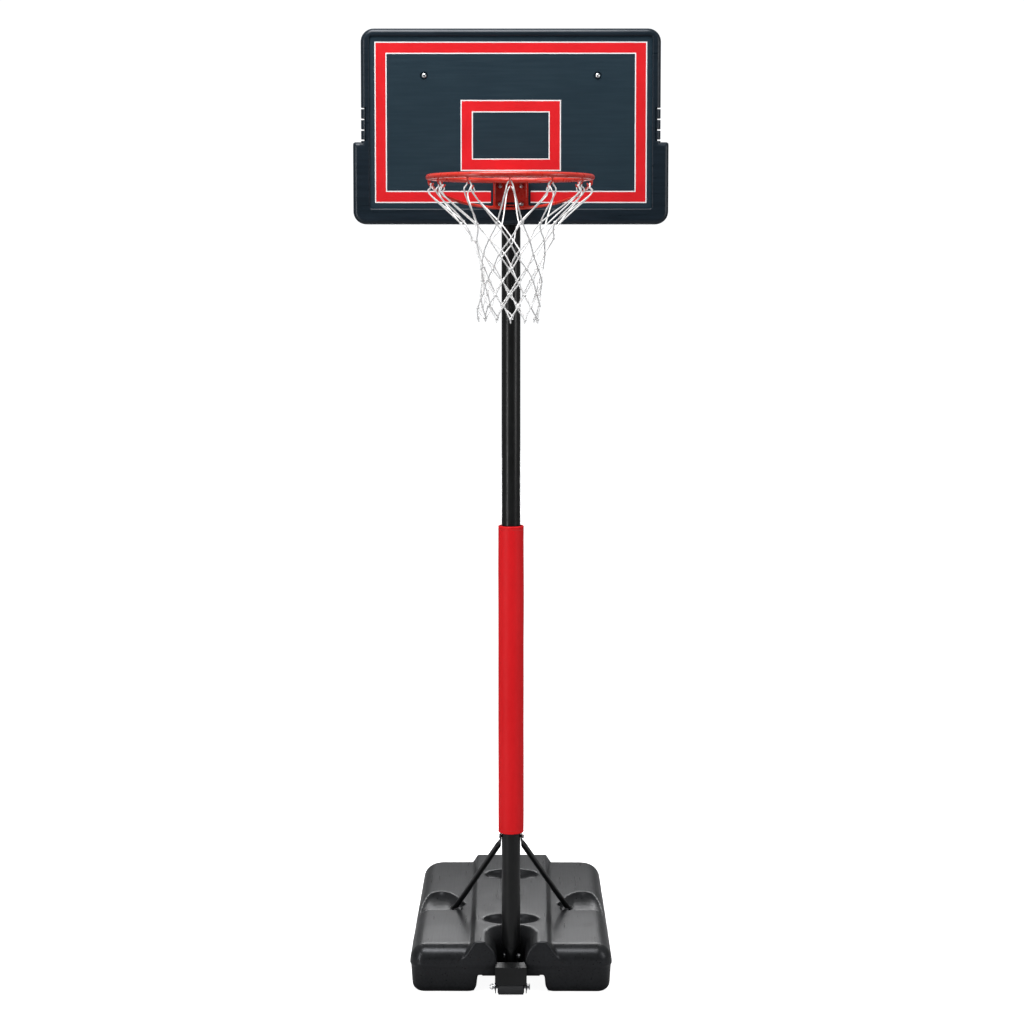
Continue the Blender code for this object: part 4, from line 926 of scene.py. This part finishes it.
def nut(node, along):
    """A chamfered hexagon nut."""
    axis = Vector(ALONG[along])
    lowest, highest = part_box(node)
    thick = abs((highest - lowest).dot(axis))
    start = (lowest + highest) / 2 - axis * thick / 2
    outline = [("bore", 0.0006), ("flat", 0.0), ("chamfer", 0.0), ("hex", 0.0011), ("hex", thick - 0.0011)]
    outline += [("chamfer", thick), ("flat", thick), ("bore", thick - 0.0006)]

    def radius_at(kind, height, turn):
        corner = hex_radius(NUT_APOTHEM, turn)
        if kind == "hex":
            return corner
        if kind == "chamfer":
            return min(corner, NUT_APOTHEM * 1.01)
        return BOLT_RADIUS + GAP + (0.0006 if kind == "flat" else 0.0)

    shape = Shape().turned(outline, 48, start, axis, closed=True, radius_at=radius_at)
    piece(node + "_fine", shape, "zinc", frame["nodes"][node]["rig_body"], (node,), 30.0)


def fasteners():
    for node in sorted(frame["nodes"]):
        through_board = node.startswith(("rim_", "board_"))
        if "_bolt" in node:
            along = "y" if through_board else "x"
            if node.startswith("shoe_"):
                along = "up"
            if node.startswith("strut_foot"):
                along = "down"
            bolt(node, along, 0.050 if along == "x" else 0.012)
        elif "_nut" in node:
            nut(node, "y" if through_board else "x")
        elif node.startswith("axle_washer"):
            lowest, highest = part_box(node)
            thick = highest.x - lowest.x
            outline = [(0.011, 0.0), (0.011, thick), (0.0063, thick), (0.0063, 0.0)]
            start = Vector((lowest.x, centre(node).y, centre(node).z))
            tube_piece(node + "_fine", outline, "zinc", "base", node, 0.0003, start, "x", 48)


# ---------------------------------------------------------------- struts and braces


def tabbed_tube(name, top_tab, top_axis, foot_tab, foot_axis, node):
    """A round tube that eases into two pressed-flat, round-ended tabs."""
    corners = [Vector(top_tab[0]), Vector(top_tab[1]), Vector(foot_tab[1]), Vector(foot_tab[0])]
    line = eased(corners, 0.022, 8)
    path = []
    for first, second in zip(line, line[1:]):
        count = max(1, int((second - first).length / 0.003))
        path += [first.lerp(second, k / count) for k in range(count)]
    path.append(line[-1])
    total = sum((b - a).length for a, b in zip(path, path[1:]))
    sides, squash_length = 32, 0.030
    tab = ((corners[1] - corners[0]).length, (corners[3] - corners[2]).length)
    rings, distance = [], 0.0
    for i, point in enumerate(path):
        if i:
            distance += (point - path[i - 1]).length
        tangent = (path[min(i + 1, len(path) - 1)] - path[max(i - 1, 0)]).normalized()
        axis = Vector(top_axis).lerp(Vector(foot_axis), distance / total)
        first = (axis - tangent * axis.dot(tangent)).normalized()
        second = tangent.cross(first).normalized()
        end, reach = min((distance, tab[0]), (total - distance, tab[1]))
        share = min(max((end - reach) / squash_length, 0.0), 1.0)
        share = share * share * (3 - 2 * share)
        thick = TAB_HALF + (STRUT_RADIUS - TAB_HALF) * share
        wide = TAB_WIDTH + (STRUT_RADIUS - TAB_WIDTH) * share
        if end < TAB_WIDTH:
            wide *= math.sqrt(max(1 - (1 - end / TAB_WIDTH) ** 2, 0.02))
        power = 2 / (4.5 - 2.5 * share)
        ring = []
        for turn in circle(sides, 0.5):
            c, s = math.cos(turn), math.sin(turn)
            across = math.copysign(abs(c) ** power, c) * thick
            along = math.copysign(abs(s) ** power, s) * wide
            ring.append(point + first * across + second * along)
        rings.append(ring)
    return piece(name, Shape().loft(rings), "black_steel", frame["nodes"][node]["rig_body"], (node,), 50.0)


def struts():
    for side, label in ((-1, "left"), (1, "right")):
        x_top = side * (POLE_RADIUS + GAP + TAB_HALF)
        top = (place(x_top, 0, PAD_BOTTOM - 0.0008), place(x_top, 0, STRUT_BOLT_Z - 0.017))
        along = Vector((side * 0.40, 0.90, 0)).normalized()
        middle = place(side * SEAT_CENTRE[0], SEAT_CENTRE[1], SEAT_Z + GAP + TAB_HALF)
        foot = (middle + along * 0.013, middle - along * 0.012)
        tabbed_tube("strut_tube_" + label, top, (side, 0, 0), foot, (0, 0, 1), "strut_" + label)
        y_board = low("board_nut_1").y - POLE_Y - TAB_HALF - GAP
        along = Vector((side * (UPPER_BOLT_X - POLE_RADIUS), 0, UPPER_BOLT_Z - BRACE_BOLT_Z)).normalized()
        board_end = place(side * UPPER_BOLT_X, y_board, UPPER_BOLT_Z)
        board = (board_end + along * 0.013, board_end - along * 0.016)
        pole = (place(x_top, 0.008, BRACE_BOLT_Z - 0.012), place(x_top, -0.012, BRACE_BOLT_Z + 0.018))
        tabbed_tube("brace_tube_" + label, pole, (side, 0, 0), board, (0, 1, 0), "upper_brace_" + label)


# ---------------------------------------------------------------- shoe, roller, clamp, cap


def roller_and_axle():
    spot = centre("roller_wheel")
    radius = (high("roller_wheel").z - low("roller_wheel").z) / 2
    half = high("roller_wheel").x
    outline = [(AXLE_RADIUS + 0.0002, -half), (radius - 0.0060, -half)]
    outline += [(radius - 0.0055, -half + 0.0012), (radius, -half + 0.0030)]
    outline += [(r, -h) for r, h in reversed(outline)]
    tube_piece("roller", outline, "roller_rubber", "roller", "roller_wheel", 0.0014, spot, "x", 96)
    left, right = low("wheel_axle").x, high("wheel_axle").x
    outline = [(AXIS, left), (AXLE_RADIUS, left), (AXLE_RADIUS, right - 0.0035), (0.0095, right - 0.0035)]
    outline += [(0.0095, right - 0.001), (AXLE_RADIUS, right), (AXIS, right)]
    start = Vector((0, spot.y, spot.z))
    pin_x = high("cotter_pin").x - PIN_WIRE
    holes = [((pin_x, spot.y, spot.z - 0.02), ALONG["up"], 0.0014, 0.04)]
    rod_piece("roller_axle", outline, "zinc", "base", "wheel_axle", 0.0009, start, "x", 48, holes=holes)
    tip = low("cotter_pin").x + 0.001
    route = [(tip, 0.0018), (pin_x - 0.006, 0.0062), (pin_x - 0.002, 0.009), (pin_x, 0.006), (pin_x, 0.0)]
    route += [(x, -z) for x, z in reversed(route[:-1])]
    path = curve_through([(x, spot.y, spot.z + z) for x, z in route], 8)
    shape = Shape().swept(path, 12, girth(PIN_WIRE), side_axis=ALONG["y"])
    piece("split_pin", shape, "zinc", "base", ("cotter_pin",))


def ends(node):
    """Where a node starts and ends along Y, from the pole's axis."""
    return low(node).y - POLE_Y, high(node).y - POLE_Y


def clamp():
    """The height lock: a sleeve welded to the middle pole, a threaded screw and its five-lobed knob."""
    middle = place(0, 0, CLAMP_Z)
    start, end = ends("clamp_boss")
    outline = [(0.010, start), (0.010, end), (0.0043, end), (0.0043, start)]
    tube_piece("clamp_sleeve", outline, "black_steel", "base", "clamp_boss", 0.0008, middle, "y", 48)
    reach = 0.0106
    weld = [place(reach * math.cos(turn), start + 0.0012, CLAMP_Z + reach * math.sin(turn))
            for turn in circle(48)]
    shape = Shape().swept(weld, 8, girth(0.0013, 0.0002, 2600), closed=True)
    piece("clamp_weld", shape, "black_steel", "base")
    start, end = ends("clamp_screw")
    outline = [(AXIS, start), (0.0030, start), (SCREW_RADIUS, start + 0.0012)]
    steps = int((end - start - 0.002) / THREAD_PITCH * 6)
    outline += [(SCREW_RADIUS, start + 0.0012 + THREAD_PITCH * k / 6) for k in range(1, steps)]
    outline += [(SCREW_RADIUS, end), (AXIS, end)]

    def threaded(radius, height, turn):
        return radius - (0.0004 * thread_phase(height, turn) if radius > 0.0035 else 0.0)

    shape = Shape().turned(outline, 32, middle, ALONG["y"], radius_at=threaded)
    piece("clamp_thread", shape, "zinc", "clamp", ("clamp_screw",), 30.0)
    start, end = ends("clamp_knob")
    outline = [(AXIS, start + 0.0075), (0.0043, start + 0.0075), (0.0043, start), (0.010, start)]
    outline += [(0.012, start + 0.001), (KNOB_RADIUS * 0.9, start + 0.0012), (KNOB_RADIUS, start + 0.0035)]
    outline += [(KNOB_RADIUS, end - 0.0035), (KNOB_RADIUS * 0.88, end - 0.0005), (KNOB_RADIUS * 0.55, end)]
    outline += [(KNOB_RADIUS * 0.42, end - 0.0012), (AXIS, end - 0.0014)]

    def lobed(radius, height, turn):
        return radius + (0.0025 * math.cos(5 * turn) * radius / KNOB_RADIUS if radius > 0.013 else 0.0)

    rod_piece("hand_knob", outline, "black_trim", "clamp", "clamp_knob", 0.0012, middle, "y", 120, lobed)


def fill_cap():
    """The fill neck's plug: a ribbed rim and a ribbed finger grip."""
    spot = centre("fill_cap")
    seat = RIDGE_TOP + GAP
    plug, rim_radius = NECK_RADIUS - GAP, NECK_RADIUS + 0.006
    outline = [(AXIS, seat - 0.016), (plug - 0.004, seat - 0.018), (plug, seat - 0.015), (plug, seat)]
    outline += [(rim_radius, seat), (rim_radius, seat + 0.0038), (rim_radius - 0.002, seat + 0.006)]
    outline += [(0.013, seat + 0.0055), (0.011, seat + 0.0120),
                (0.0085, seat + 0.0142), (AXIS, seat + 0.0140)]

    def ribbed(radius, height, turn):
        if radius > NECK_RADIUS + 0.003:
            return radius - 0.0006 * max(math.cos(30 * turn), 0.0)
        return radius - (0.0006 * abs(math.sin(4 * turn)) if 0.008 < radius < 0.0125 else 0.0)

    start = Vector((spot.x, spot.y, 0))
    rod_piece("tank_cap", outline, "black_trim", "cap", "fill_cap", 0.0010, start, "up", 180, ribbed)


# ---------------------------------------------------------------- board


def board_rows(inset):
    """The board's outline moved inwards: round corners and the step half way up."""
    radius = max(BOARD_CORNER - inset, 0.002)

    def rounded(half, z, start):
        return [(half - BOARD_CORNER + radius * math.cos(turn), z + radius * math.sin(turn))
                for turn in arc(start, 90, 10)]

    half, step_z = BOARD_HALF_LOW - inset, BOARD_STEP_Z
    right = rounded(BOARD_HALF_LOW, BOARD_BOTTOM + BOARD_CORNER, -90)
    right += [(half, step_z - 0.008 - inset), (half - 0.001, step_z - 0.003 - inset)]
    right += [(half - 0.006, step_z - inset), (BOARD_HALF_HIGH - inset, step_z - inset)]
    right += rounded(BOARD_HALF_HIGH, BOARD_TOP - BOARD_CORNER, 0)
    return right + [(-x, z) for x, z in reversed(right)]


def opening_outline(grow):
    """The round-cornered opening that the panel shows through."""
    half, corner = OPENING_HALF + grow, OPENING_CORNER + grow
    bottom, top = OPENING_BOTTOM - grow, OPENING_TOP + grow
    points = []
    corners = ((1, bottom, 1, -90), (1, top, -1, 0), (-1, top, -1, 90), (-1, bottom, 1, 180))
    for side, z, inward, start in corners:
        for turn in arc(start, 90, 5):
            x = side * (half - corner) + corner * math.cos(turn)
            points.append((x, z + inward * corner + corner * math.sin(turn)))
    return points


def board_border():
    """The moulded border: rolled outer edge, eased lip round the opening, rebate behind, notched sides."""
    levels = []
    for turn in arc(0, 90, 8):
        levels.append((BOARD_FRONT + BOARD_ROLL * (1 - math.sin(turn)), BOARD_ROLL * (1 - math.cos(turn))))
    levels.reverse()
    for turn in arc(0, 90, 3):
        levels.append((BOARD_BACK - BOARD_BACK_ROLL * (1 - math.sin(turn)),
                       BOARD_BACK_ROLL * (1 - math.cos(turn))))
    rings = [[place(x, y, z) for x, z in board_rows(inset)] for y, inset in levels]
    border = raw_object("board_border", Shape().loft(rings))
    lip = 0.005
    rings = []
    for y, grow in ((-0.02, lip), (0.0, lip), (0.0008, 0.0022), (0.0022, 0.0008), (lip, 0.0), (0.08, 0.0)):
        rings.append([place(x, BOARD_FRONT + y, z) for x, z in opening_outline(grow)])
    combine(border, Shape().loft(rings))
    lowest = place(-OPENING_HALF - REBATE, BOARD_FRONT + 0.006, OPENING_BOTTOM - REBATE)
    highest = place(OPENING_HALF + REBATE, BOARD_BACK + 0.01, OPENING_TOP + REBATE)
    combine(border, Shape().box(lowest, highest))
    through, shallow = BOARD_BACK + 0.01, BOARD_FRONT + GROOVE_DEPTH
    for side in (-1, 1):
        cuts = []
        for z in NOTCH_Z:
            cuts.append((NOTCH_DEPTH, -0.01, through, z, z + NOTCH_HEIGHT))
            cuts.append((GROOVE_IN, NOTCH_DEPTH - 0.001, shallow, z, z + NOTCH_HEIGHT))
        cuts.append((GROOVE_IN, GROOVE_OUT, shallow, NOTCH_Z[0], NOTCH_Z[-1] + NOTCH_HEIGHT))
        for inner, outer, depth, bottom, top in cuts:
            first, second = sorted(side * (BOARD_HALF_HIGH - reach) for reach in (inner, outer))
            combine(border, Shape().box(place(first, BOARD_FRONT - 0.01, bottom), place(second, depth, top)))
    applied(border, "BEVEL", width=0.0008, segments=2, limit_method="ANGLE", angle_limit=math.radians(50))
    dress(border, "board_plastic", "mast", ("board_frame",), 34.0)
    applied(border, "WEIGHTED_NORMAL", keep_sharp=True, weight=100)


def board_panel():
    cuts = []
    for side in (-1, 1):
        outline = ((0.0085, 0.0), (0.0125, 0.0), (0.0118, 0.0035), (0.0090, 0.0035))
        start = place(side * UPPER_BOLT_X, PANEL_FRONT - 0.0001, UPPER_BOLT_Z)
        cuts.append(Shape().turned(outline, 48, start, (0, 1, 0), closed=True))
    refined("board_panel", "panel_plastic", 0.0004, "playing_panel", cuts)


def band_parts(half, bottom, top, width, gap):
    """Four strips of a rectangular band; the lower strip leaves a gap in the middle."""
    parts = [(-half, top - width, half, top), (-half, bottom + width, -half + width, top - width)]
    parts.append((half - width, bottom + width, half, top - width))
    if gap:
        return parts + [(-half, bottom, -gap, bottom + width), (gap, bottom, half, bottom + width)]
    return parts + [(-half, bottom, half, bottom + width)]


def printed_band(name, half, bottom, top, width, gap=0.0):
    """A red band between two white lines, as thin films of ink on the panel."""
    front = PANEL_FRONT - PRINT_DEPTH
    red, white = Shape(), Shape()
    line = LINE_WIDTH
    for strip in band_parts(half - line, bottom + line, top - line, width - 2 * line, gap):
        red.box(place(strip[0], front, strip[1]), place(strip[2], PANEL_FRONT, strip[3]))
    for offset in (0.0, width - line):
        parts = band_parts(half - offset, bottom + offset, top - offset, line, gap)
        for strip in parts:
            white.box(place(strip[0], front - 0.00003, strip[1]), place(strip[2], PANEL_FRONT, strip[3]))
    piece(name + "_red", red, "print_red", "mast")
    piece(name + "_lines", white, "print_white", "mast")


def board():
    board_border()
    board_panel()
    printed_band("border_print", *BORDER_PRINT, BORDER_GAP)
    printed_band("target_print", *TARGET_PRINT)
    refined("board_bracket", "black_steel", 0.0005, "mast_bracket")


# ---------------------------------------------------------------- rim


def ring_spot(turn, radius=RING_RADIUS, z=RING_Z):
    return place(radius * math.cos(turn), radius * math.sin(turn) - RIM_REACH, z)


def hook_turn(index):
    return 2 * math.pi * index / HOOK_COUNT - math.pi / 2


def rim():
    shape = Shape()
    path = [ring_spot(turn) for turn in circle(192)]
    shape.swept(path, 28, girth(RING_WIRE), closed=True, side_axis=(0, 0, 1))

    def bead_radius(distance, turn):
        return 0.0008 + 0.0022 * math.sin(min(distance / 0.0085, 1.0) * math.pi)

    for index in range(HOOK_COUNT):
        turn = hook_turn(index)
        route = [ring_spot(turn, RING_RADIUS + out, RING_Z - RING_WIRE + up) for out, up in HOOK_PROFILE]
        across = (-math.sin(turn), math.cos(turn), 0)
        shape.swept(curve_through(route, 6), 14, girth(HOOK_WIRE), side_axis=across)
        bead = [ring_spot(turn + 0.009 * k, z=RING_Z - RING_WIRE - 0.0003) for k in range(-2, 3)]
        shape.swept(bead, 12, bead_radius)
    piece("ring_and_hooks", shape, "rim_paint", "mast", ("rim_ring",), 60.0)
    refined("rim_mount", "rim_paint", 0.0006, "rim_plate")
    shape = Shape()
    start = math.radians(6)
    reach = RIM_REACH + BOARD_FRONT - SUPPORT_WIRE - GAP
    top = RING_Z - RING_WIRE - SUPPORT_WIRE - GAP
    drop = top - SUPPORT_WIRE - low("rim_support_rod").z
    path = []
    for step in range(97):
        turn = start + (math.pi - 2 * start) * step / 96
        fall = drop * (math.sin(turn) - math.sin(start)) / (1 - math.sin(start))
        path.append(place(RING_RADIUS * math.cos(turn), reach * math.sin(turn) - RIM_REACH, top - fall))
    shape.swept(path, 20, girth(SUPPORT_WIRE), side_axis=(0, 0, 1))
    piece("support_rod", shape, "rim_paint", "mast", ("rim_support_rod",), 60.0)
    shape = Shape()
    outer = RING_RADIUS + RING_WIRE * 0.9
    weld = [ring_spot(math.radians(102 - 24 * k / 60), outer, high("rim_mount").z - 0.0002)
            for k in range(61)]
    shape.swept(weld, 10, girth(0.0021, 0.00035, 1500))
    for side in (-1, 1):
        at = math.acos(side * 0.0475 / outer)
        gusset = [ring_spot(at, outer, high("rim_mount").z - 0.004 - 0.013 * k / 30) for k in range(31)]
        shape.swept(gusset, 10, girth(0.0020, 0.0003, 1700), side_axis=(1, 0, 0))
        foot = [path[48 + side * k] + Vector((0, -0.001, 0.0045)) for k in range(2, 9)]
        shape.swept(foot, 10, girth(0.0019, 0.0003, 1500), side_axis=(0, 1, 0))
    piece("rim_welds", shape, "rim_paint", "mast", (), 60.0)


# ---------------------------------------------------------------- net


def net():
    """Twelve cords knotted into diamonds: each hangs from a hook and its two legs spiral opposite ways."""
    dice = random.Random(12)
    rows = len(NET_ROWS)
    knots = {}
    for row, (radius, z) in enumerate(NET_ROWS):
        for index in range(HOOK_COUNT):
            turn = hook_turn(index) + (math.pi / HOOK_COUNT if row % 2 == 0 else 0.0)
            turn += dice.uniform(-0.05, 0.05) + 0.05 * math.sin(2 * turn + row)
            reach = radius * (1 + 0.07 * math.sin(3 * turn + 0.6 * row)) + dice.uniform(-0.003, 0.003)
            knots[row, index] = ring_spot(turn, reach, z + dice.uniform(-0.005, 0.005))
    shape = Shape()

    def strand(index, sign):
        """The knots one leg passes on its way down: half a place per row, to the right or left."""
        places = [index + (row + 1) // 2 if sign > 0 else index - row // 2 - 1 for row in range(rows)]
        return [knots[row, at % HOOK_COUNT] for row, at in enumerate(places)]

    def twisted(distance, turn):
        return CORD_RADIUS * (1 + 0.16 * math.cos(3 * (turn - 2 * math.pi * distance / (3 * CORD_TWIST))))

    def lay(points, steps):
        shape.swept(curve_through(points, steps), 12, twisted)

    for index in range(HOOK_COUNT):
        turn = hook_turn(index)
        across = Vector((-math.sin(turn), math.cos(turn), 0))
        hook = ring_spot(turn, RING_RADIUS - 0.0065, RING_Z - RING_WIRE - 0.0115)
        legs = []
        for sign in (-1, 1):
            start = [hook + across * 0.0080 * sign + Vector((0, 0, -0.009))]
            start.append(hook + across * 0.0135 * sign + Vector((0, 0, -0.032)))
            out = ring_spot(turn, 0.001) - ring_spot(turn, 0.0)
            legs.append(start + [spot + out * sign for spot in strand(index, sign)])
        top = hook + Vector((0, 0, 0.0015))
        line = list(reversed(legs[0])) + [top] + legs[1]
        lay(line, 14)
    for (row, index), spot in knots.items():
        shape.loft(knot_rings(spot, 0.0040 + 0.0008 * dice.random(), dice))
    for index in range(HOOK_COUNT):
        spot = knots[rows - 1, index]
        tail = [spot, spot + Vector((dice.uniform(-0.003, 0.003), dice.uniform(-0.003, 0.003), -NET_TAIL))]
        lay(tail, 6)
    piece("cord_net", shape, "net_cord", "mast", ("net",), 70.0)


def knot_rings(spot, size, dice):
    """A lumpy little ball for a tightened knot."""
    tilt_axis = Vector((dice.uniform(-1, 1), dice.uniform(-1, 1), 0.4)).normalized()
    turn_to = Vector((0, 0, 1)).rotation_difference(tilt_axis)
    rings = []
    for level in range(1, 9):
        lift = math.pi * level / 9 - math.pi / 2
        ring = []
        for turn in circle(16):
            radius = size * (1 + 0.14 * math.cos(4 * turn + 5 * lift))
            point = Vector((math.cos(lift) * math.cos(turn), math.cos(lift) * math.sin(turn),
                            0.85 * math.sin(lift)))
            ring.append(spot + turn_to @ (point * radius))
        rings.append(ring)
    return rings


# ---------------------------------------------------------------- stage


def studio():
    """Soft panels, a world that is brighter behind the hoop than before it, and a white floor."""
    for name, spot, target, width, height, power in LIGHTS:
        data = bpy.data.lights.new(name, "AREA")
        data.shape = "RECTANGLE"
        data.size = width
        data.size_y = height
        data.energy = power
        light = bpy.data.objects.new(name, data)
        light.location = place(*spot)
        light.rotation_euler = (place(*target) - light.location).to_track_quat("-Z", "Y").to_euler()
        light.visible_camera = False
        bpy.context.scene.collection.objects.link(light)
    world = bpy.data.worlds.new("studio")
    bpy.context.scene.world = world
    world.use_nodes = True
    sky = Nodes(world.node_tree)
    background = sky.tree.nodes["Background"]
    way = sky.node("ShaderNodeTexCoord").outputs["Generated"]
    way = sky.node("ShaderNodeSeparateXYZ", Vector=way).outputs
    glow = sky.add(sky.spread(way["Y"], -0.75, 0.15, 0.09, 0.22), sky.spread(way["Z"], 0.1, 0.8, 0.0, 0.13))
    sky.feed(background.inputs["Strength"], sky.spread(sky.camera_ray(), 0.0, 1.0, glow, 1.1))
    background.inputs["Color"].default_value = (0.96, 0.97, 0.985, 1.0)
    floor = raw_object("studio_floor", Shape().turned(((FLOOR_RADIUS, -0.05), (FLOOR_RADIUS, 0.0)), 96))
    look = Look("floor_paint", (0.90, 0.90, 0.90), 0.75)
    seen = look.camera_ray()
    pale = look.blend(look.spread(look.grain(0.6)), (0.88, 0.88, 0.88), (0.91, 0.91, 0.91))
    look.set("Base Color", look.blend(seen, (0.42, 0.42, 0.43), pale))
    look.set("Emission Color", (1.0, 1.0, 1.0, 1.0))
    look.set("Emission Strength", look.add(seen, 0.95, "MULTIPLY"))
    floor.data.materials.append(look.material)


def camera():
    data = bpy.data.cameras.new("camera")
    data.lens = 75.99
    data.sensor_width = 36
    data.shift_y = -0.08
    data.clip_end = 60
    made = bpy.data.objects.new("camera", data)
    made.location = place(0.0258, -6.8624, 2.3354)
    made.rotation_euler = (math.pi / 2 - 0.0771, 0, 0.0033)
    bpy.context.scene.collection.objects.link(made)
    bpy.context.scene.camera = made


def carried_over():
    """A CAD node that stays: the water ballast gets its own finish."""
    node = frame["nodes"]["water_ballast"]
    node.data.materials.clear()
    node.data.materials.append(LOOKS["water"].material)


def main():
    camera()
    studio()
    base_tank()
    poles()
    pole_pad()
    struts()
    fasteners()
    refined("pole_shoe", "black_steel", 0.0006, "shoe_steel")
    roller_and_axle()
    clamp()
    fill_cap()
    board()
    rim()
    net()
    carried_over()
    bpy.context.scene.view_settings.view_transform = "Standard"


main()
bpy.context.view_layer.update()
